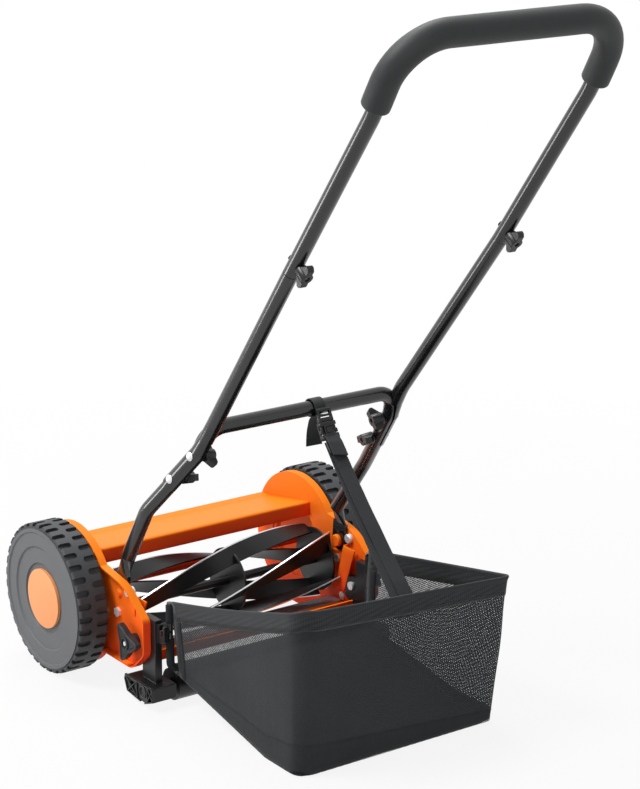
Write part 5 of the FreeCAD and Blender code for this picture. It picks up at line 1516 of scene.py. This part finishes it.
@dataclass
class CarryStrap:
    """Webbing strap that carries the bag: loop, side-release buckle, slider, two bands and a loose tail.

    Attributes:
        width: Width of the webbing.
        thick: Thickness of one layer.
        loop_radius: Middle of the webbing where it goes round the tube.
        plug_start: Where the buckle starts, counted from the tube's axis down the strap.
        socket_start: Where its socket starts.
        socket_end: Where its socket ends.
        slider_start: Where the slider starts, counted from the buckle's end.
        fan: How far the lower band has wandered to the left at the bag.
        tail: Length of the loose end.
        gathered: Width of the webbing where it is gathered round the tube.
        slid: How far the loop has slid to the left along the tube, and the foot to the right.
        swing: How far the buckle swings back from hanging straight down, in radians.
        tube_reach: From the faces of the loop's box to the tube's axis.
        foot_reach: From the left face of the webbing's box to the middle of the strap's foot.
    """

    width: float = 0.021
    thick: float = 0.0015
    loop_radius: float = 0.0121
    plug_start: float = 0.006
    socket_start: float = 0.024
    socket_end: float = 0.048
    slider_start: float = 0.009
    fan: float = 0.010
    tail: float = 0.050
    gathered: float = 0.017
    slid: tuple[float, float] = (-0.009, 0.003)
    swing: float = 0.52
    tube_reach: float = 0.0133
    foot_reach: float = 0.013

    def __post_init__(self) -> None:
        """Work out the strap's line from the frame's loop and webbing."""
        low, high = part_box("strap_loop")
        self.bar = Vector(((low.x + high.x) / 2 + self.slid[0], high.y - self.tube_reach,
                           high.z - self.tube_reach))
        low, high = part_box("strap_webbing")
        self.foot = Vector((low.x + self.foot_reach + self.slid[1], low.y + self.thick, low.z + self.thick))
        hang = Vector((0.0, -math.sin(self.swing), -math.cos(self.swing)))
        self.start = self.bar + hang.cross(X_AXIS) * (self.loop_radius + self.thick)
        self.place = self.facing(self.start, hang)
        self.knee = self.at(0.0, 0.0, self.socket_end - 0.004)
        self.lower = self.facing(self.knee, (self.foot - self.knee).normalized())
        self.whole = (self.foot - self.knee).length

    def facing(self, start: Vector, along: Vector) -> Matrix:
        """Frame with X across the strap, Y out of its face and Z down it."""
        side = (X_AXIS - along * along.x).normalized()
        return placed((side, along.cross(side), along), start)

    def at(self, across: float, out: float, along: float) -> Vector:
        """A point across the strap, out of its face and down its length from the tube."""
        return self.place @ Vector((across, out, along))

    def build(self) -> None:
        """Build the whole strap."""
        self.loop()
        self.bands()
        self.buckle()
        self.box_stitches()

    def loop(self) -> None:
        """Webbing round the tube, with its loose end hanging in front of it."""
        down = self.place.to_3x3() @ Z_AXIS
        out = down.cross(X_AXIS)
        bm = bmesh.new()
        turns = [math.radians(70.0 + 250.0 * k / 30) for k in range(31)]
        ring = [self.bar + (down * math.cos(turn) + out * math.sin(turn)) * self.loop_radius
                for turn in turns]
        ends = [self.at(0.002, 0.0012, self.plug_start + 0.004),
                self.bar + down * (self.loop_radius + 0.002) + out * (self.loop_radius * 0.7)]
        ribbon(bm, divided([ends[0], *ring, ends[1]], {0: 3, len(ring): 3}), (X_AXIS, X_AXIS),
               (self.gathered, self.gathered))
        start = self.bar + Vector((0.007, 0.006, -0.008))
        drop = [start, start + Vector((-0.001, 0.008, -0.010)), start + Vector((-0.001, 0.008, -0.026)),
                start + Vector((0.003, 0.010, -self.tail))]
        line = divided(rounded_line(drop, (0.010, 0.060)), {0: 3, ARC_STEPS + 1: 4, 2 * ARC_STEPS + 2: 8})
        ribbon(bm, line, (Vector((0.72, 0.69, 0.05)).normalized(), Vector((0.93, -0.36, 0.10)).normalized()),
               (self.width * 0.9, self.width * 1.05))
        Piece("strap_tube_loop", "strap", WEBBING, Slot.WEBBING, ("strap_loop",)).made_from(
            bm, wall=self.thick, edge=0.0004)

    def below(self, across: float, out: float, along: float) -> Vector:
        """A point across the strap, out of its face and down its length from the buckle's end."""
        return self.lower @ Vector((across, out, along))

    def band(self, bm: BMesh, start: float, out: float, wander: tuple[float, float]) -> None:
        """One layer of webbing from the buckle down into the bag.

        Args:
            bm: The mesh it is added to.
            start: Where it starts, below the buckle.
            out: How far out of the strap's face it lies.
            wander: How far it lies to the side, at its start and at its foot.
        """
        sag, ripple, cells = 0.003, 0.0006, 40
        line = []
        for k in range(cells + 1):
            share = k / cells
            side = wander[0] + (wander[1] - wander[0]) * share
            lift = out * (1 - 0.5 * share) - sag * math.sin(math.pi * share)
            lift += ripple * noise.noise(Vector((side * 40, share * 7, out * 900)))
            line.append(self.below(side, lift, start + (self.whole - start) * share))
        line += [line[-1] + Vector((0.0, -0.0004, -0.004 * k)) for k in range(1, 6)]
        side = self.lower.to_3x3() @ X_AXIS
        ribbon(bm, line, (side, side), (self.width, self.width), cells=8)

    def bands(self) -> None:
        """Both layers of webbing, fanned apart towards the bag, and the short flap sewn back over them."""
        bm = bmesh.new()
        self.band(bm, 0.0, 0.0016, (0.0005, 0.003))
        self.band(bm, 0.008, -0.0006, (-0.0015, -self.fan))
        flap = [self.below(0.0, out, along)
                for out, along in ((0.0036, 0.001), (0.0056, 0.012), (0.0044, 0.032))]
        side = self.lower.to_3x3() @ X_AXIS
        askew = (side + self.lower.to_3x3() @ Z_AXIS * 0.14).normalized()
        ribbon(bm, divided(flap, {0: 6, 1: 8}), (side, askew), (self.width, self.width * 1.04))
        Piece("strap_bands", "strap", WEBBING, Slot.WEBBING, ("strap_webbing",)).made_from(
            bm, wall=self.thick, edge=0.0004)

    def blocks(self, bm: BMesh, shapes: Iterable[tuple[Sequence[float], Sequence[float]]],
               edge: float = 0.0011, place: Matrix | None = None) -> None:
        """Add rounded blocks.

        Args:
            bm: The mesh they are added to.
            shapes: Size of each block and its middle on the strap.
            edge: Rounding of their edges.
            place: The strap's frame that they are placed in; its upper one if none is given.
        """
        for size, middle in shapes:
            rounded_block(bm, size, (place or self.place) @ Matrix.Translation(middle), edge)

    def buckle(self) -> None:
        """Plug with its two springy prongs, socket with a window each side, and the slider."""
        start, seat, end = self.plug_start, self.socket_start, self.socket_end
        bm = bmesh.new()
        self.blocks(bm, [((0.0215, 0.0050, 0.0036), (0.001, 0, start + 0.0018)),
                         ((0.0215, 0.0046, 0.0030), (0.001, 0, start + 0.0090)),
                         ((0.0220, 0.0070, 0.0056), (0, 0, seat - 0.0030)),
                         ((0.0044, 0.0042, 0.0150), (0, 0, seat + 0.0060))])
        for hand in (-1, 1):
            self.blocks(bm, [((0.0032, 0.0052, 0.0180), (0.001 + hand * 0.0094, 0, start + 0.0086)),
                             ((0.0032, 0.0052, 0.0150), (hand * 0.0100, 0, seat + 0.0060)),
                             ((0.0042, 0.0058, 0.0056), (hand * 0.0112, 0, seat + 0.0130))])
        Piece("buckle_plug_moulded", "strap", BLACK_NYLON, Slot.BLACK_PLASTIC, ("buckle_plug",)).made_from(bm)
        bm = bmesh.new()
        middle = (seat + end) / 2
        self.blocks(bm, [((0.0250, 0.0090, 0.0056), (0, 0, seat + 0.0030)),
                         ((0.0150, 0.0090, 0.0190), (0, 0, middle)),
                         ((0.0262, 0.0086, 0.0074), (0, 0, end - 0.0037)),
                         ((0.0110, 0.0004, 0.0090), (0, 0.0046, middle - 0.001))], 0.0013)
        for hand in (-1, 1):
            self.blocks(bm, [((0.0026, 0.0022, 0.0180), (hand * 0.0112, -0.0033, middle + 0.001))], 0.0008)
        Piece("buckle_socket_moulded", "strap", BLACK_NYLON, Slot.BLACK_PLASTIC,
              ("buckle_socket",)).made_from(bm)
        bm = bmesh.new()
        bars = [((0.0240, 0.0020, 0.0026), (0, 0.0026, self.slider_start + shift))
                for shift in (0.002, 0.009, 0.016)]
        rails = [((0.0024, 0.0024, 0.0170), (hand * 0.0112, 0.0026, self.slider_start + 0.009))
                 for hand in (-1, 1)]
        self.blocks(bm, bars + rails, 0.0008, self.lower)
        Piece("slider_moulded", "strap", BLACK_NYLON, Slot.BLACK_PLASTIC, ("strap_slider",)).made_from(bm)

    def box_stitches(self) -> None:
        """A sewn box with a cross in it below the slider, and another at the bag's rim."""
        wide, tall, bm = 0.0092, 0.0150, bmesh.new()
        for top in (self.slider_start + 0.0225, self.whole - 0.030):
            corners = [(-wide, top), (wide, top), (wide, top + tall), (-wide, top + tall)]
            seams = [*zip(corners, corners[1:] + corners[:1]), *zip(corners[:2], corners[2:])]
            for (x0, z0), (x1, z1) in seams:
                count = int(math.hypot(x1 - x0, z1 - z0) / BOX_SEAM.pitch)
                for n in range(count):
                    share = (n + 0.5) / count
                    down = z0 + (z1 - z0) * share
                    lift = 0.0036 - 0.003 * math.sin(math.pi * down / self.whole)
                    middle = Matrix.Translation((x0 + (x1 - x0) * share + 0.001, lift, down))
                    BOX_SEAM.stitch(bm, self.lower @ middle, Vector((x1 - x0, 0.0, z1 - z0)))
        Piece("strap_stitches", "strap", THREAD, Slot.WEBBING).made_from(bm, sharp=80.0)


def main() -> None:
    """Dress the frame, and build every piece."""
    logging.basicConfig(level=logging.INFO, format="%(name)s: %(message)s")
    Studio().build()
    for part in (WheelPair(), Chassis(), CuttingReel(), Handle(), Carriage(), GrassCatcher(), CarryStrap()):
        part.build()
        log.info("%s is finished", type(part).__name__)


if __name__ == "__main__":
    main()
